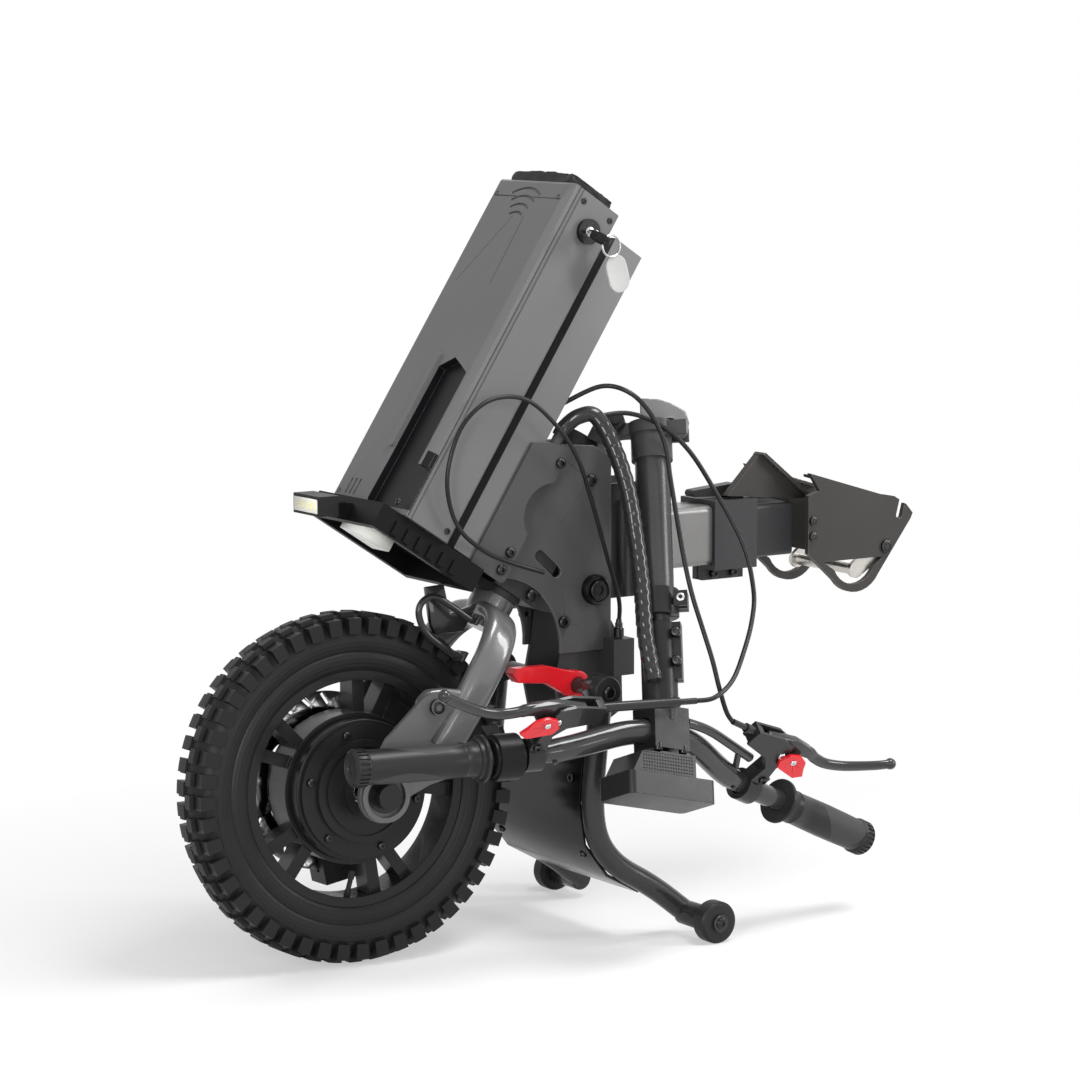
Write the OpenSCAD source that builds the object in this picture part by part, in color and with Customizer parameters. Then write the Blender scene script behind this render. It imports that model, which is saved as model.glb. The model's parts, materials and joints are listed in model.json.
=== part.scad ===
// Front-wheel power assist for a wheelchair, folded and parked on its own stand.
// +X points forward, past the driven wheel; +Y points to the side that carries the folded handlebar.

/* [Place] */
// Distance from the tyre's contact point to the row origin, along X
origin_x = 258.4; // [0:0.1:600]
// Distance from the wheel's middle plane to the row origin, along Y
origin_y = -26.4; // [-60:0.1:60]

/* [Steering geometry] */
// Lean of the steering axis from the vertical, degrees
rake = 33; // [28:0.5:38]
// Place of the fork crown on the steering axis, along X
crown_x = -177; // [-190:1:-165]
// Height of the fork crown
crown_z = 350; // [340:1:360]
// Turn of the fork in the parked pose, degrees
steer_rest = -6; // [-8:0.5:-4]
// Distance of the wheel axle ahead of the steering axis
fork_offset = 50; // [44:1:56]

/* [Wheel] */
// Outer radius of the tyre
tyre_r = 178; // [172:1:182]
// Radius of the tyre's round section
tyre_section_r = 27; // [24:0.5:29]
// Height of the tread blocks
tread_h = 6; // [3:0.5:8]
// Number of tread blocks in each row
tread_n = 48; // [24:1:54]
// Radius of the rim's outer flange
rim_r = 122; // [118:1:126]
// Width of the rim across the flanges
rim_w = 46; // [40:1:50]
// Number of forked spokes
spoke_n = 5; // [4:1:6]
// Radius of the hub motor's shell
hub_r = 72; // [66:1:78]
// Width of the hub motor's shell
hub_w = 72; // [60:1:80]
// Radius of the hub axle
axle_r = 7; // [6:0.5:8]
// Radius of the brake disc
disc_r = 92; // [86:1:96]

/* [Fork] */
// Distance from the wheel's middle plane to a fork leg's inner face
leg_in = 62; // [58:1:66]
// Thickness of a fork leg, across
leg_t = 18; // [14:1:22]
// Depth of a fork leg, front to back
leg_d = 40; // [32:1:46]
// Thickness of a dropout plate
dropout_t = 6; // [4:0.5:8]
// Radius of the steerer tube
steerer_r = 14.3; // [12:0.1:16]

/* [Frame] */
// Distance from the middle plane to a side plate's inner face
plate_in = 32; // [30:1:36]
// Thickness of the side plates
plate_t = 4; // [3:0.5:5]
// Height of the head block along the steering axis
head_h = 160; // [140:1:170]
// Half width of the battery rail
rail_y = 48; // [44:1:52]
// Radius of the screw heads on the plates
screw_head_r = 6.5; // [5:0.5:8]

/* [Battery] */
// Width of the battery case
battery_w = 138; // [120:1:150]
// Depth of the battery case
battery_d = 69; // [60:1:80]
// Length of the battery case
battery_l = 382; // [340:1:400]
// Distance from the steering axis to the battery's back face
battery_back = 121; // [118:1:130]
// Depth of the long recess in the front cover
slot_depth = 9; // [4:0.5:10]

/* [Handlebar column] */
// Distance from the crown to the fold pin, along the steering axis
pin_up = 228; // [222:1:240]
// Distance from the steering axis to the fold pin
pin_out = 34; // [32:1:40]
// Direction of the fold pin round the steering axis, degrees
fold_side = 138.5; // [134:0.5:142]
// Fold of the column from in line with the steerer to parked, degrees
fold_rest = 151.5; // [148:0.5:154]
// Radius of the column's outer tube
column_r = 18; // [16:0.5:20]
// Radius of the sliding mast
mast_r = 14; // [12.7:0.1:15.5]
// Length of the column's outer tube
column_l = 168; // [150:1:180]
// Distance from the fold pin to the handlebar's middle
bar_up = 329; // [320:1:340]

/* [Handlebar] */
// Turn of the handlebar about the column, degrees
bar_turn = -44; // [-48:1:-40]
// Lean of the plane that holds the bent handlebar, degrees
bar_lean = 50; // [44:1:56]
// Radius of the handlebar tube
bar_r = 12.5; // [11:0.1:13.5]
// Sideways distance from the middle to the end of the rise
rise_s = 115; // [105:1:125]
// Rise of the handlebar
rise_q = 44; // [36:1:52]
// Backward sweep of the grips, degrees
sweep = 13.5; // [8:0.5:18]
// Start of a grip, from the end of the rise
grip_from = 77; // [74:1:90]
// Length of a grip
grip_l = 144; // [120:1:150]
// Radius of a grip
grip_r = 18; // [16:0.5:19]
// Roll of the brake levers about the bar, degrees
lever_roll = -191; // [-196:1:-186]

/* [Docking arm] */
// Height of the arm's middle line
arm_z = 405; // [400:1:410]
// Height of the arm's outer tube
arm_h = 64; // [58:1:70]
// Width of the arm's outer tube
arm_w = 52; // [48:1:56]
// Wall of the arm tubes
arm_wall = 3; // [2.5:0.25:4]
// End of the outer tube, along X
arm_end = -458; // [-470:1:-450]
// Half width of the docking head, over its cheeks
dock_y = 60; // [56:1:66]
// Thickness of the docking cheeks
dock_t = 6; // [4:0.5:8]
// Radius of the docking pin that the notch takes
notch_r = 4.25; // [3.5:0.05:5]

/* [Stand] */
// Distance from the middle plane to a stand tube
stand_y = 96; // [90:1:102]
// Radius of the stand tubes
stand_r = 12; // [10:0.5:13]
// Radius of the small stand wheels
castor_r = 22; // [20:0.5:24]
// Width of the small stand wheels
castor_w = 19; // [16:1:24]
// Distance from the middle plane to a stand wheel's middle
castor_y = 148; // [142:1:154]
// Place of the stand wheels, along X
castor_x = -357; // [-365:1:-350]

/* [Clearances] */
// Radial clearance of shafts and sliding tubes
run_clear = 0.05; // [0.02:0.01:0.1]
// Gap between pieces that move past each other
gap = 0.3; // [0.2:0.05:0.5]
// Gap between pieces that are seated on each other
seat = 0.0; // [0:0.05:0.3]

/* [Hidden] */
$fn = 48;

// Lean of the turned wheel, and the height of its axle over the floor
tread_y = 13;
wheel_lean = asin(sin(-steer_rest) * sin(rake));
axle_z = tyre_r * cos(wheel_lean) + tread_y * sin(wheel_lean);
// Height of the crown over the axle, along the steering axis, that puts the tyre on the floor
wheel_drop = (crown_z - axle_z + fork_offset * cos(steer_rest) * sin(rake)) / cos(rake);
plate_out = plate_in + plate_t;
battery_front = battery_back + battery_d;
battery_low = 14;
battery_high = battery_low + battery_l;
rail_front = 101;
rail_back = 62;
head_low = 16;
head_high = head_low + head_h;
cup_h = 6;
leg_out = leg_in + leg_t;
dropout_out = leg_out + dropout_t;
column_from = 30;
column_to = column_from + column_l;
arm_start = -306;
castor_z = castor_r;
lever_pivot = [16, 58];
latch_pin = [30, 60];
latch_y = 9.6;
barrel_z = 66;
grip_bar_r = 11.1;
stand_pivot = [-250, 267];
notch_at = [-670, 415];
jaw_pivot = [-652, 382];
arm_lever_at = [-486, arm_z + arm_h / 2 + 13];
lock_x = 148;
lock_z = battery_high - 34;

// Points of an arc, from angle a0 to a1
function arc(c, r, a0, a1, n = 10) =
  [for (i = [0:n]) let (t = a0 + (a1 - a0) * i / n) [c[0] + r * cos(t), c[1] + r * sin(t)]];

// Outline of two round ends joined by straight sides
function link(p, rp, q, rq, n = 12) =
  let (b = atan2(q[1] - p[1], q[0] - p[0]), t = acos((rp - rq) / norm(q - p)))
  concat(arc(p, rp, b + t, b + 360 - t, n), arc(q, rq, b - t, b + t, n));

// Rectangle with round corners, from corner a to corner b
function rounded(a, b, r, n = 5) = concat(
  arc([b[0] - r, b[1] - r], r, 0, 90, n), arc([a[0] + r, b[1] - r], r, 90, 180, n),
  arc([a[0] + r, a[1] + r], r, 180, 270, n), arc([b[0] - r, a[1] + r], r, 270, 360, n));

// Upright X-Z place of a point given in the raked frame
function raked(x, z) = [crown_x + x * cos(rake) - z * sin(rake), crown_z + x * sin(rake) + z * cos(rake)];

// Frames that the bodies are drawn in
module in_frame() translate([origin_x, origin_y, 0]) children();
module in_rake() in_frame() translate([crown_x, 0, crown_z]) rotate([0, -rake, 0]) children();
module in_steer() in_rake() rotate([0, 0, steer_rest]) children();
module in_wheel() in_steer() translate([fork_offset, 0, -wheel_drop]) rotate([-90, 0, 0]) children();
module in_fold() in_steer() translate([0, 0, pin_up]) rotate([0, 0, fold_side]) children();
module in_column()
  in_fold() translate([pin_out, 0, 0]) rotate([0, fold_rest, 0]) translate([-pin_out, 0, 0]) children();
module in_bar() in_column() translate([0, 0, bar_up]) rotate([0, 0, bar_turn]) children();
module in_bend() in_bar() rotate([-bar_lean, 0, 0]) children();
module in_grip(side)
  in_bend() mirror([side < 0 ? 1 : 0, 0, 0]) translate([rise_s, 0, rise_q]) rotate([0, -sweep, 0]) children();
module in_lever(side) in_grip(side) rotate([lever_roll, 0, 0]) children();

// Flat shape in X-Z, given a thickness along Y from y upward
module slab(y, t) translate([0, y + t, 0]) rotate([90, 0, 0]) linear_extrude(t) children();
module both_sides() {
  children();
  mirror([0, 1, 0]) children();
}
// Round bar along Y and along X
module rod_y(r, y0, y1) translate([0, y0, 0]) rotate([-90, 0, 0]) cylinder(r = r, h = y1 - y0);
module rod_x(r, x0, x1) translate([x0, 0, 0]) rotate([0, 90, 0]) cylinder(r = r, h = x1 - x0);
// Tube through points, with round elbows a little thicker than the tube
module rod_path(points, r) {
  for (i = [0:len(points) - 2]) {
    d = points[i + 1] - points[i];
    translate(points[i])
      rotate([0, acos(d[2] / norm(d)), atan2(d[1], d[0])]) cylinder(r = r, h = norm(d));
  }
  for (i = [1:1:len(points) - 2]) translate(points[i]) sphere(r = r + 0.4);
}

/* Frame plates */
// Outline of a side plate, in upright X-Z
arch_c = [-163, 305];
arch_r = 78;
plate_top = 512;
plate_back = -304;
plate_outline = concat(
  [raked(52, 165), [plate_back + 22, plate_top], [plate_back, plate_top - 14], [plate_back, 306],
   [plate_back + 8, 298]],
  arc(arch_c, arch_r, 185, 92, 12), [raked(58, 20)]);
// Screws that hold the side plates, and those that hold the bracket plates
plate_holes = [[-278, 476], [-204, 362], [-244, 331]];
bracket_holes = [[-230, 498], [-168, 411], [-157, 394]];
slot_c = [-223, 392];
boss_c = [-282, 362];
module side_plate() slab(plate_in, plate_t) difference() {
  polygon(plate_outline);
  for (p = plate_holes) translate(p) circle(r = 3);
  polygon(link(slot_c + [8, 10], 6, slot_c - [12, 8], 6));
}
module side_plate_left() color("#4a4a4b") in_frame() side_plate();
module side_plate_right() color("#4a4a4b") in_frame() mirror([0, 1, 0]) side_plate();

// Outline of a bracket plate, in the raked frame
bracket_outline = concat(
  [[77, 14.5], [77, 154], [56, 166], [31, 174]], arc([16, 102], 34, 62, -62, 10), [[30, 18], [34, 14.5]]);
bracket_t = 3;
gland = [47, 42.2, 178];
module bracket_plates() color("#575757") in_rake() {
  both_sides() slab(rail_y + seat, bracket_t) difference() {
    polygon(bracket_outline);
    for (p = bracket_holes) translate(rake_place(p)) circle(r = 2.6);
  }
  // Gland that the main harness leaves from
  translate([gland[0], gland[1], gland[2] - 24]) cylinder(r = 5.9, h = 24);
}
// Raked place of an upright point
function rake_place(p) = let (d = p - [crown_x, crown_z])
  [d[0] * cos(rake) + d[1] * sin(rake), d[1] * cos(rake) - d[0] * sin(rake)];

// Screws with round heads, spacers between plate and bracket, and round rubber bosses
module plate_screws() color("#1d1d1f") in_frame() both_sides() {
  for (p = plate_holes) translate([p[0], 0, p[1]]) {
    rod_y(screw_head_r, plate_out + seat, plate_out + 4);
    rod_y(2.9, plate_in - 6, plate_out + 1);
  }
  for (p = bracket_holes) translate([p[0], 0, p[1]]) {
    rod_y(screw_head_r - 1, rail_y + bracket_t + seat, rail_y + bracket_t + 3.5);
    rod_y(2.5, plate_out + 1, rail_y + bracket_t + 1);
    rod_y(5, plate_out + seat, rail_y - seat);
  }
  translate([boss_c[0], 0, boss_c[1]]) {
    rod_y(16, plate_out + seat, plate_out + 9);
    rod_y(10, plate_out + 8, plate_out + 11);
  }
}

// Machined block that joins the plates and carries the steerer in two bearing lands
module head_block() color("#3c3c3e") in_rake() difference() {
  union() {
    difference() {
      translate([-30, -plate_in, head_low]) cube([58, 2 * plate_in, head_h]);
      for (p = plate_holes) translate([rake_place(p)[0], 0, rake_place(p)[1]]) rotate([90, 0, 0])
        cylinder(r = 3, h = 4 * plate_in, center = true);
    }
    translate([0, 0, head_low - cup_h]) cylinder(r = 26, h = head_h + 2 * cup_h);
  }
  translate([0, 0, head_low + 14]) cylinder(r = steerer_r + 5, h = head_h - 28);
  translate([0, 0, head_low - cup_h - 1]) cylinder(r = steerer_r + run_clear, h = head_h + 2 * cup_h + 2);
}

// Channel rail behind the battery, with the slide that the battery hooks on
rail_wall = 4;
slide_y = 26;
module battery_rail() color("#5a5a5a") in_rake() {
  difference() {
    translate([rail_back, -rail_y, battery_low + 4])
      cube([rail_front - rail_back, 2 * rail_y, battery_l - 18]);
    translate([rail_back - 1, rail_wall - rail_y, battery_low + 3])
      cube([rail_front - rail_back - rail_wall + 1, 2 * (rail_y - rail_wall), battery_l - 16]);
  }
  translate([rail_front, -slide_y, battery_low + 4])
    cube([battery_back - rail_front - gap, 2 * slide_y, battery_l - 18]);
}

// Ribbed tray under the battery, with the lamp's bracket at its front end
tray_front = 206;
tray_back = 66;
tray_y = 63;
tray_low = -12;
lamp_pivot = [8, 463];
module battery_tray() color("#232325") {
  in_rake() difference() {
    union() {
      translate([tray_back, -tray_y, tray_low]) cube([tray_front - tray_back, 2 * tray_y, battery_low - tray_low - gap]);
      for (x = [tray_back + 30:16:tray_front - 16]) translate([x, -tray_y - 2, tray_low + 3])
        cube([8, 2 * tray_y + 4, 14]);
      translate([28, -plate_in + 1, 5]) cube([40, 2 * plate_in - 2, battery_low - gap - 5]);
    }
    translate([tray_back + 8, 8 - tray_y, tray_low - 1])
      cube([tray_front - tray_back - 16, 2 * tray_y - 16, battery_low - tray_low - 7]);
    cylinder(r = 30, h = 100, center = true);
  }
  in_frame() both_sides() slab(6, 3) polygon(link(lamp_pivot, 7, raked(tray_front - 4, 0), 8));
}

// Pale strip lamp under the tray
module under_strip() color("#d8d8d2") in_rake()
  translate([148, -14, tray_low - 4]) cube([45, 32, battery_low - 8 - tray_low + 4 - seat]);

// Motor controller between the plates, behind the head block
module controller() color("#2c2c2e") in_frame() {
  translate([-269, -25, 338]) cube([27, 50, 46]);
  for (z = [342:9:378]) translate([-273, -22, z]) cube([5, 44, 4]);
}

// Bracket of the stand's shaft, below the side plates
pivot_r = 8;
module stand_bracket() color("#6a6a6c") in_frame() {
  both_sides() slab(plate_in - 4.3, 4) difference() {
    polygon([[-251, 342], [-298, 342], [-320, 306], [-322, 232], [-304, 222], [-246, 226], [-238, 262], [-246, 300]]);
    translate(stand_pivot) circle(r = pivot_r + run_clear);
    translate([-292, 262]) circle(r = 9);
  }
  translate([-316, -plate_in + 0.3, 236]) cube([6, 2 * plate_in - 0.6, 60]);
  translate([-320, plate_in - 0.5, 272]) cube([26, 24, 25.5]);
  translate([-320, plate_out + gap, 290]) cube([26, 19.2, 20]);
  translate([-307, 46, 300]) cylinder(r = 4, h = 26);
}

/* Lamp */
module lamp_body() color("#2a2a2c") in_frame() difference() {
  union() {
    translate([18, -25, 459]) cube([23, 50, 20]);
    translate([lamp_pivot[0], 0, lamp_pivot[1]]) rod_y(6.5, -5.7, 5.7);
    translate([lamp_pivot[0] + 2, -5.7, 458]) cube([12, 11.4, 10]);
    for (z = [461, 466, 471, 476]) translate([15.6, -20, z]) cube([4, 40, 2]);
  }
  translate([lamp_pivot[0], 0, lamp_pivot[1]]) rod_y(3 + run_clear, -8, 8);
  translate([38, -22, 462]) cube([4, 44, 14]);
}
module lamp_lens() color("#f2f0c8") in_frame() translate([38 + seat, -22, 462]) cube([4, 44, 14]);

/* Battery */
cover_t = 11;
module battery_case() color("#3d3d3f") in_rake() difference() {
  translate([0, 0, battery_low]) linear_extrude(battery_l)
    polygon(rounded([battery_back, -battery_w / 2], [battery_front - cover_t, battery_w / 2], 5));
  translate([battery_back - 1, -slide_y - 4, battery_low - 1]) cube([6, 2 * slide_y + 8, 14]);
  translate([lock_x, battery_w / 2 - 18, lock_z]) rotate([-90, 0, 0]) cylinder(r = 10, h = 30);
  both_sides() translate([battery_front - cover_t - 6, battery_w / 2 - 1.2, battery_low - 1])
    cube([2, 3, battery_l + 2]);
}
// Outline of the recess in the front cover, and the middle of its curved vents, in Y-Z
recess = [[1, 22], [6, 14], [75, 14], [75, 67], [58, 67], [58, 172], [25, 187], [4, 175], [3, 77]];
vent_c = [-2.5, battery_high - 63];
// Flat shape in Y-Z, given a thickness along X from x upward
module sheet_x(x, t) translate([x, 0, 0]) rotate([90, 0, 90]) linear_extrude(t) children();
module battery_cover() color("#434346") in_rake() difference() {
  union() {
    translate([battery_front - cover_t + seat, 0, battery_low]) linear_extrude(battery_l)
      polygon([[0, -battery_w / 2], [5, -battery_w / 2], [cover_t, 8 - battery_w / 2],
        [cover_t, battery_w / 2 - 8], [5, battery_w / 2], [0, battery_w / 2]]);
    // Raised grip bar beside the recess
    sheet_x(battery_front - 2, 5) polygon(rounded([-8, 80], [0, 190], 3.9));
  }
  // Chamfered top strip
  translate([battery_front - 4, -battery_w / 2 - 1, battery_high]) rotate([0, 45, 0])
    cube([12, battery_w + 2, 12], center = false);
  // Long recess on the lower half
  sheet_x(battery_front - slot_depth, 20) polygon(recess);
  // Curved vents
  for (r = [25, 34.5, 44, 53.5]) sheet_x(battery_front - 2, 4)
    polygon(concat(arc(vent_c, r, 60, 120, 8), arc(vent_c, r - 2.8, 120, 60, 8)));
  // Drain slits at the bottom
  for (i = [0:2]) translate([battery_front - 2, -44 + 8 * i, battery_low + 8]) cube([4, 3, 18]);
  // Groove line across
  translate([battery_front - 1, -battery_w, battery_high - 22]) cube([4, 2 * battery_w, 1.5]);
}
module battery_handle() color("#161617") in_rake() {
  difference() {
    translate([128, -56, battery_high + seat]) cube([56, 112, 13]);
    translate([120, -40, battery_high - 1]) cube([70, 80, 8]);
    for (y = [-1, 1]) translate([127, 56 * y, battery_high + 13]) rotate([45, 0, 0]) translate([0, -6, -6])
      cube([60, 12, 12]);
  }
}
module lock_barrel() color("#262628") in_rake() translate([lock_x, battery_w / 2 - 18 + seat, lock_z]) difference() {
  rotate([-90, 0, 0]) union() {
    cylinder(r = 10, h = 20);
    translate([0, 0, 18]) cylinder(r = 13, h = 5);
  }
  rotate([-90, 0, 0]) translate([0, 0, 3]) cylinder(r = 5 + run_clear, h = 30);
}
// Key with its bow, a ring and a plain oval fob
module key() color("#c9c9cc") in_rake() translate([lock_x, battery_w / 2, lock_z]) {
  rotate([-90, 0, 0]) translate([0, 0, -14]) cylinder(r = 5, h = 19.3);
  translate([-3.5, 4, -1.2]) cube([7, 16, 2.4]);
  translate([0, 28, -1.4]) difference() {
    cylinder(r = 11, h = 2.8);
    translate([5, 2, -1]) cylinder(r = 2.6, h = 5);
  }
  translate([-19.5, 22, -4]) rotate([90, 0, 0]) rotate_extrude() translate([11, 0]) circle(r = 1.2);
  slab(20, 4) polygon(link([-36, -18.6], 13, [-46.6, -27.8], 13));
}

/* Fork */
leg_outline = [[-22, 4], [24, 4], [26, -40], [24.5, -105], [40, -112], [56, -122], [60, -134], [54, -150],
  [40, -165], [22, -184], [-9, -184], [-10, -160], [-14, -95], [-10, -60], [-14, -30]];
// Shape of the crown and the legs from the front, in Y-Z
crown_half = 41;
front_outline = [[-crown_half, 4], [crown_half, 4], [leg_out, -58], [leg_out, -190], [-leg_out, -190], [-leg_out, -58]];
module fork() color("#47484a") in_steer() {
  difference() {
    union() {
      both_sides() slab(leg_in, leg_t) polygon(leg_outline);
      translate([-14, -leg_in - 1, -78]) cube([38, 2 * leg_in + 2, 82]);
      translate([-22, -leg_in - 1, -30]) cube([20, 2 * leg_in + 2, 34]);
    }
    difference() {
      translate([-60, -120, -60]) cube([140, 240, 80]);
      sheet_x(-70, 160) polygon(front_outline);
    }
    translate([-40, 0, -92]) rotate([0, 90, 0]) cylinder(r = 52, h = 90);
    translate([-40, -45, -120]) cube([90, 90, 40]);
    both_sides() for (z = [-102, -80, -58]) translate([-4, leg_out - 5, z]) cube([22, 20, 17]);
  }
  cylinder(r = 23, h = head_low - cup_h - gap);
  difference() {
    cylinder(r = steerer_r, h = pin_up - 28);
    translate([0, 0, -60]) cylinder(r = steerer_r - 4, h = pin_up + 100);
  }
}
dropout_outline = concat([[27, -117], [40, -117.5], [52, -121], [61, -131], [76, -187]],
  arc([fork_offset, -wheel_drop], 27, 18, -205, 14), [[10, -203], [-6, -187], [-9, -172], [33, -166]]);
module dropouts() color("#38383a") in_steer() both_sides() {
  slab(leg_out + seat, dropout_t) difference() {
    polygon(dropout_outline);
    translate([fork_offset, -wheel_drop]) circle(r = axle_r);
  }
  difference() {
    translate([fork_offset, 0, -wheel_drop]) rod_y(26, dropout_out - 1, dropout_out + 6);
    translate([fork_offset, 0, -wheel_drop]) rod_y(21, dropout_out - 1, dropout_out + 8);
  }
  translate([43.6, 0, -133]) rod_y(8, dropout_out - 1, dropout_out + 5);
}
module stator_axle() color("#8d8f92") in_wheel() {
  cylinder(r = axle_r, h = 2 * (dropout_out + 12), center = true);
  cylinder(r = hub_r - 9, h = hub_w - 34, center = true);
  cylinder(r = 16, h = hub_w - 26, center = true);
  for (m = [0, 1]) mirror([0, 0, m]) translate([0, 0, hub_w / 2 + 16 + gap])
    cylinder(r = 13, h = leg_out - hub_w / 2 - 16 - gap);
}
module axle_caps() color("#1f1f21") in_wheel() for (m = [0, 1]) mirror([0, 0, m]) difference() {
  union() {
    translate([0, 0, dropout_out]) cylinder(r = 17, h = 3);
    translate([0, 0, dropout_out]) cylinder(r = 12.5, h = 15);
  }
  translate([0, 0, dropout_out - 1]) cylinder(r = axle_r, h = 13);
}
// Brake caliper over the disc, on an arm from the far dropout
caliper_turn = 227;
module brake_caliper() color("#2b2b2e") in_steer() translate([fork_offset, 0, -wheel_drop]) {
  difference() {
    rotate([0, -caliper_turn, 0]) translate([disc_r - 24, -76, -25]) cube([36, 36, 50]);
    rod_y(disc_r + 3, -57.2, -51.8);
  }
  rotate([0, -caliper_turn, 0]) translate([disc_r - 34, -79.7, -14]) cube([30, 5, 28]);
  difference() {
    rotate([0, -caliper_turn, 0]) translate([0, -79.7, -12]) cube([disc_r - 10, 5, 24]);
    rod_y(13.5, -90, -70);
  }
}
// Bracket and cable guide on the front of the crown
module crown_bracket() color("#202022") in_steer() {
  slab(14, 8) polygon([[24 + seat, -10], [24 + seat, -42], [50, -60], [60, -54], [84, -24], [68, -12], [46, -34]]);
  rod_path([[28, 37, -31], [84, 40, -29], [93, 40, -50], [72, 39, -68], [28, 36, -71]], 3.5);
  translate([24 + seat, 35, -34]) cube([4, 10, 10]);
  translate([24 + seat, 35, -76]) cube([4, 21, 12]);
}
// Casting clamped on the steerer, with the fold pin between two knuckles
module hinge_base() color("#29292b") in_fold() {
  difference() {
    union() {
      translate([0, 0, head_high + cup_h + gap - pin_up]) cylinder(r = 23, h = 18.4);
      translate([15, -22, -30]) cube([18, 44, 30 - gap]);
      translate([pin_out, 0, 0]) rod_y(8.7, -22, 22);
    }
    translate([pin_out, 0, 0]) rod_y(9.2, -10.3, 10.3);
    translate([pin_out - 9, -10.3, -9]) cube([20, 20.6, 10]);
    translate([0, 0, -60]) cylinder(r = steerer_r, h = 40);
  }
  translate([pin_out, 0, 0]) rod_y(5, -24.5, 24.5);
}

/* Wheel */
ring_r = tyre_r - tread_h - tyre_section_r + 3;
module tyre() color("#1b1b1c") in_wheel() difference() {
  union() {
    rotate_extrude($fn = 96) difference() {
      translate([ring_r, 0]) circle(r = tyre_section_r);
      translate([ring_r, 0]) circle(r = tyre_section_r - 6);
      translate([ring_r - tyre_section_r - 20, -16]) square([28 + 20, 32]);
      translate([0, -60]) square([rim_r - 3, 120]);
    }
    for (k = [0:tread_n - 1]) rotate([0, 0, k * 360 / tread_n]) {
      block(360 / tread_n * 0.62, ring_r + 17, tyre_r, 2, 13);
      block(360 / tread_n * 0.62, ring_r + 9, ring_r + tyre_section_r - 2, 16, 30);
      rotate([0, 0, 180 / tread_n]) {
        block(360 / tread_n * 0.62, ring_r + 17, tyre_r, -13, -2);
        block(360 / tread_n * 0.62, ring_r + 9, ring_r + tyre_section_r - 2, -30, -16);
      }
    }
  }
}
// One tread block, over a turn about the axle
module block(turn, r0, r1, y0, y1) rotate_extrude(angle = turn)
  translate([r0, y0]) square([r1 - r0, y1 - y0]);

module rim() color("#303032") in_wheel() {
  rotate_extrude($fn = 96) {
    translate([rim_r - 12, -rim_w / 2]) square([6, rim_w]);
    translate([rim_r - 12, -rim_w / 2]) square([12, 4]);
    translate([rim_r - 12, rim_w / 2 - 4]) square([12, 4]);
    translate([hub_r, -rim_w / 2 + 4]) square([5, rim_w - 8]);
  }
  for (k = [0:spoke_n - 1]) rotate([0, 0, k * 360 / spoke_n]) for (m = [0, 1]) mirror([0, m, 0])
    difference() {
      translate([hub_r + 1, 3, -14]) rotate([0, 0, 14]) cube([rim_r - hub_r - 5, 13, 28]);
      cylinder(r = hub_r + 1, h = 60, center = true);
    }
}
module hub_shell() color("#232325") in_wheel() difference() {
  union() {
    cylinder(r = hub_r, h = hub_w, center = true);
    translate([0, 0, -hub_w / 2 - 15]) cylinder(r = 30, h = 16);
  }
  cylinder(r = hub_r - 5, h = hub_w - 12, center = true);
  translate([0, 0, -hub_w / 2 - 16]) cylinder(r = 17, h = 80);
  translate([0, 0, hub_w / 2 - 8]) cylinder(r = 17, h = 20);
}
module hub_cover() color("#2a2a2c") in_wheel() {
  translate([0, 0, hub_w / 2 + seat]) difference() {
    union() {
      cylinder(r = hub_r - 4, h = 4);
      cylinder(r = 52, h = 9);
      cylinder(r = 26, h = 16);
    }
    translate([0, 0, -1]) cylinder(r = 17, h = 30);
    translate([0, 0, 7]) rotate_extrude() translate([42, 0]) square([3, 4]);
  }
  for (k = [0:5]) rotate([0, 0, 60 * k + 20]) translate([60, 0, hub_w / 2 + 3]) cylinder(r = 4, h = 4);
}
disc_z = -hub_w / 2 - 18;
module brake_disc() color("#a9abad") in_wheel() translate([0, 0, disc_z - 1]) difference() {
  cylinder(r = disc_r, h = 2.4, $fn = 96);
  translate([0, 0, -1]) cylinder(r = 17, h = 5);
  for (k = [0:5]) rotate([0, 0, 60 * k]) translate([52, 0, -1]) cylinder(r = 14, h = 5);
  for (k = [0:23]) rotate([0, 0, 15 * k]) translate([disc_r - 8, 0, -1]) rotate([0, 0, 35]) translate([-7, -1.6, 0])
    cube([14, 3.2, 5]);
}
module hub_bearings() color("#b4b6b8") in_wheel() {
  for (z = [-hub_w / 2 - 12, hub_w / 2 - 6]) translate([0, 0, z]) difference() {
    cylinder(r = 17, h = 10);
    translate([0, 0, -1]) cylinder(r = axle_r + run_clear, h = 12);
  }
}

/* Handlebar column */
module hinge_head() color("#8b8d8f") in_column() {
  difference() {
    union() {
      translate([0, 0, gap]) cylinder(r = 24, h = 13);
      translate([0, 0, gap]) cylinder(r = 21.5, h = 40);
      translate([10, -10, gap]) cube([pin_out - 10, 20, 12]);
      translate([pin_out, 0, 0]) rod_y(8.7, -10, 10);
      both_sides() translate([-38, 11.3, 2]) cube([24, 5, 15]);
    }
    translate([0, 0, 12]) cylinder(r = column_r, h = 40);
    translate([pin_out, 0, 0]) rod_y(5 + run_clear, -20, 20);
  }
  translate([-31, 0, 9]) rod_y(3.5, -16, 16);
}
module hinge_lever() color("#97999b") in_column() slab(-11, 22) difference() {
  polygon(concat(arc([-31, 9], 6.5, 0, 180, 8), [[-38.5, 1], [-39.5, -1], [-37, -9], [-23, -18], [-10, -23.5],
    [8, -25.5], [10, -22], [10, -4], [4, -1.2], [-24.6, -1.2]]));
  translate([-31, 9]) circle(r = 3.5 + run_clear);
}
module column_tube() color("#505254") in_column() translate([0, 0, 12 + seat]) difference() {
  cylinder(r = column_r, h = column_to - 12);
  translate([0, 0, -1]) cylinder(r = mast_r + run_clear, h = column_to);
}
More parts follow.
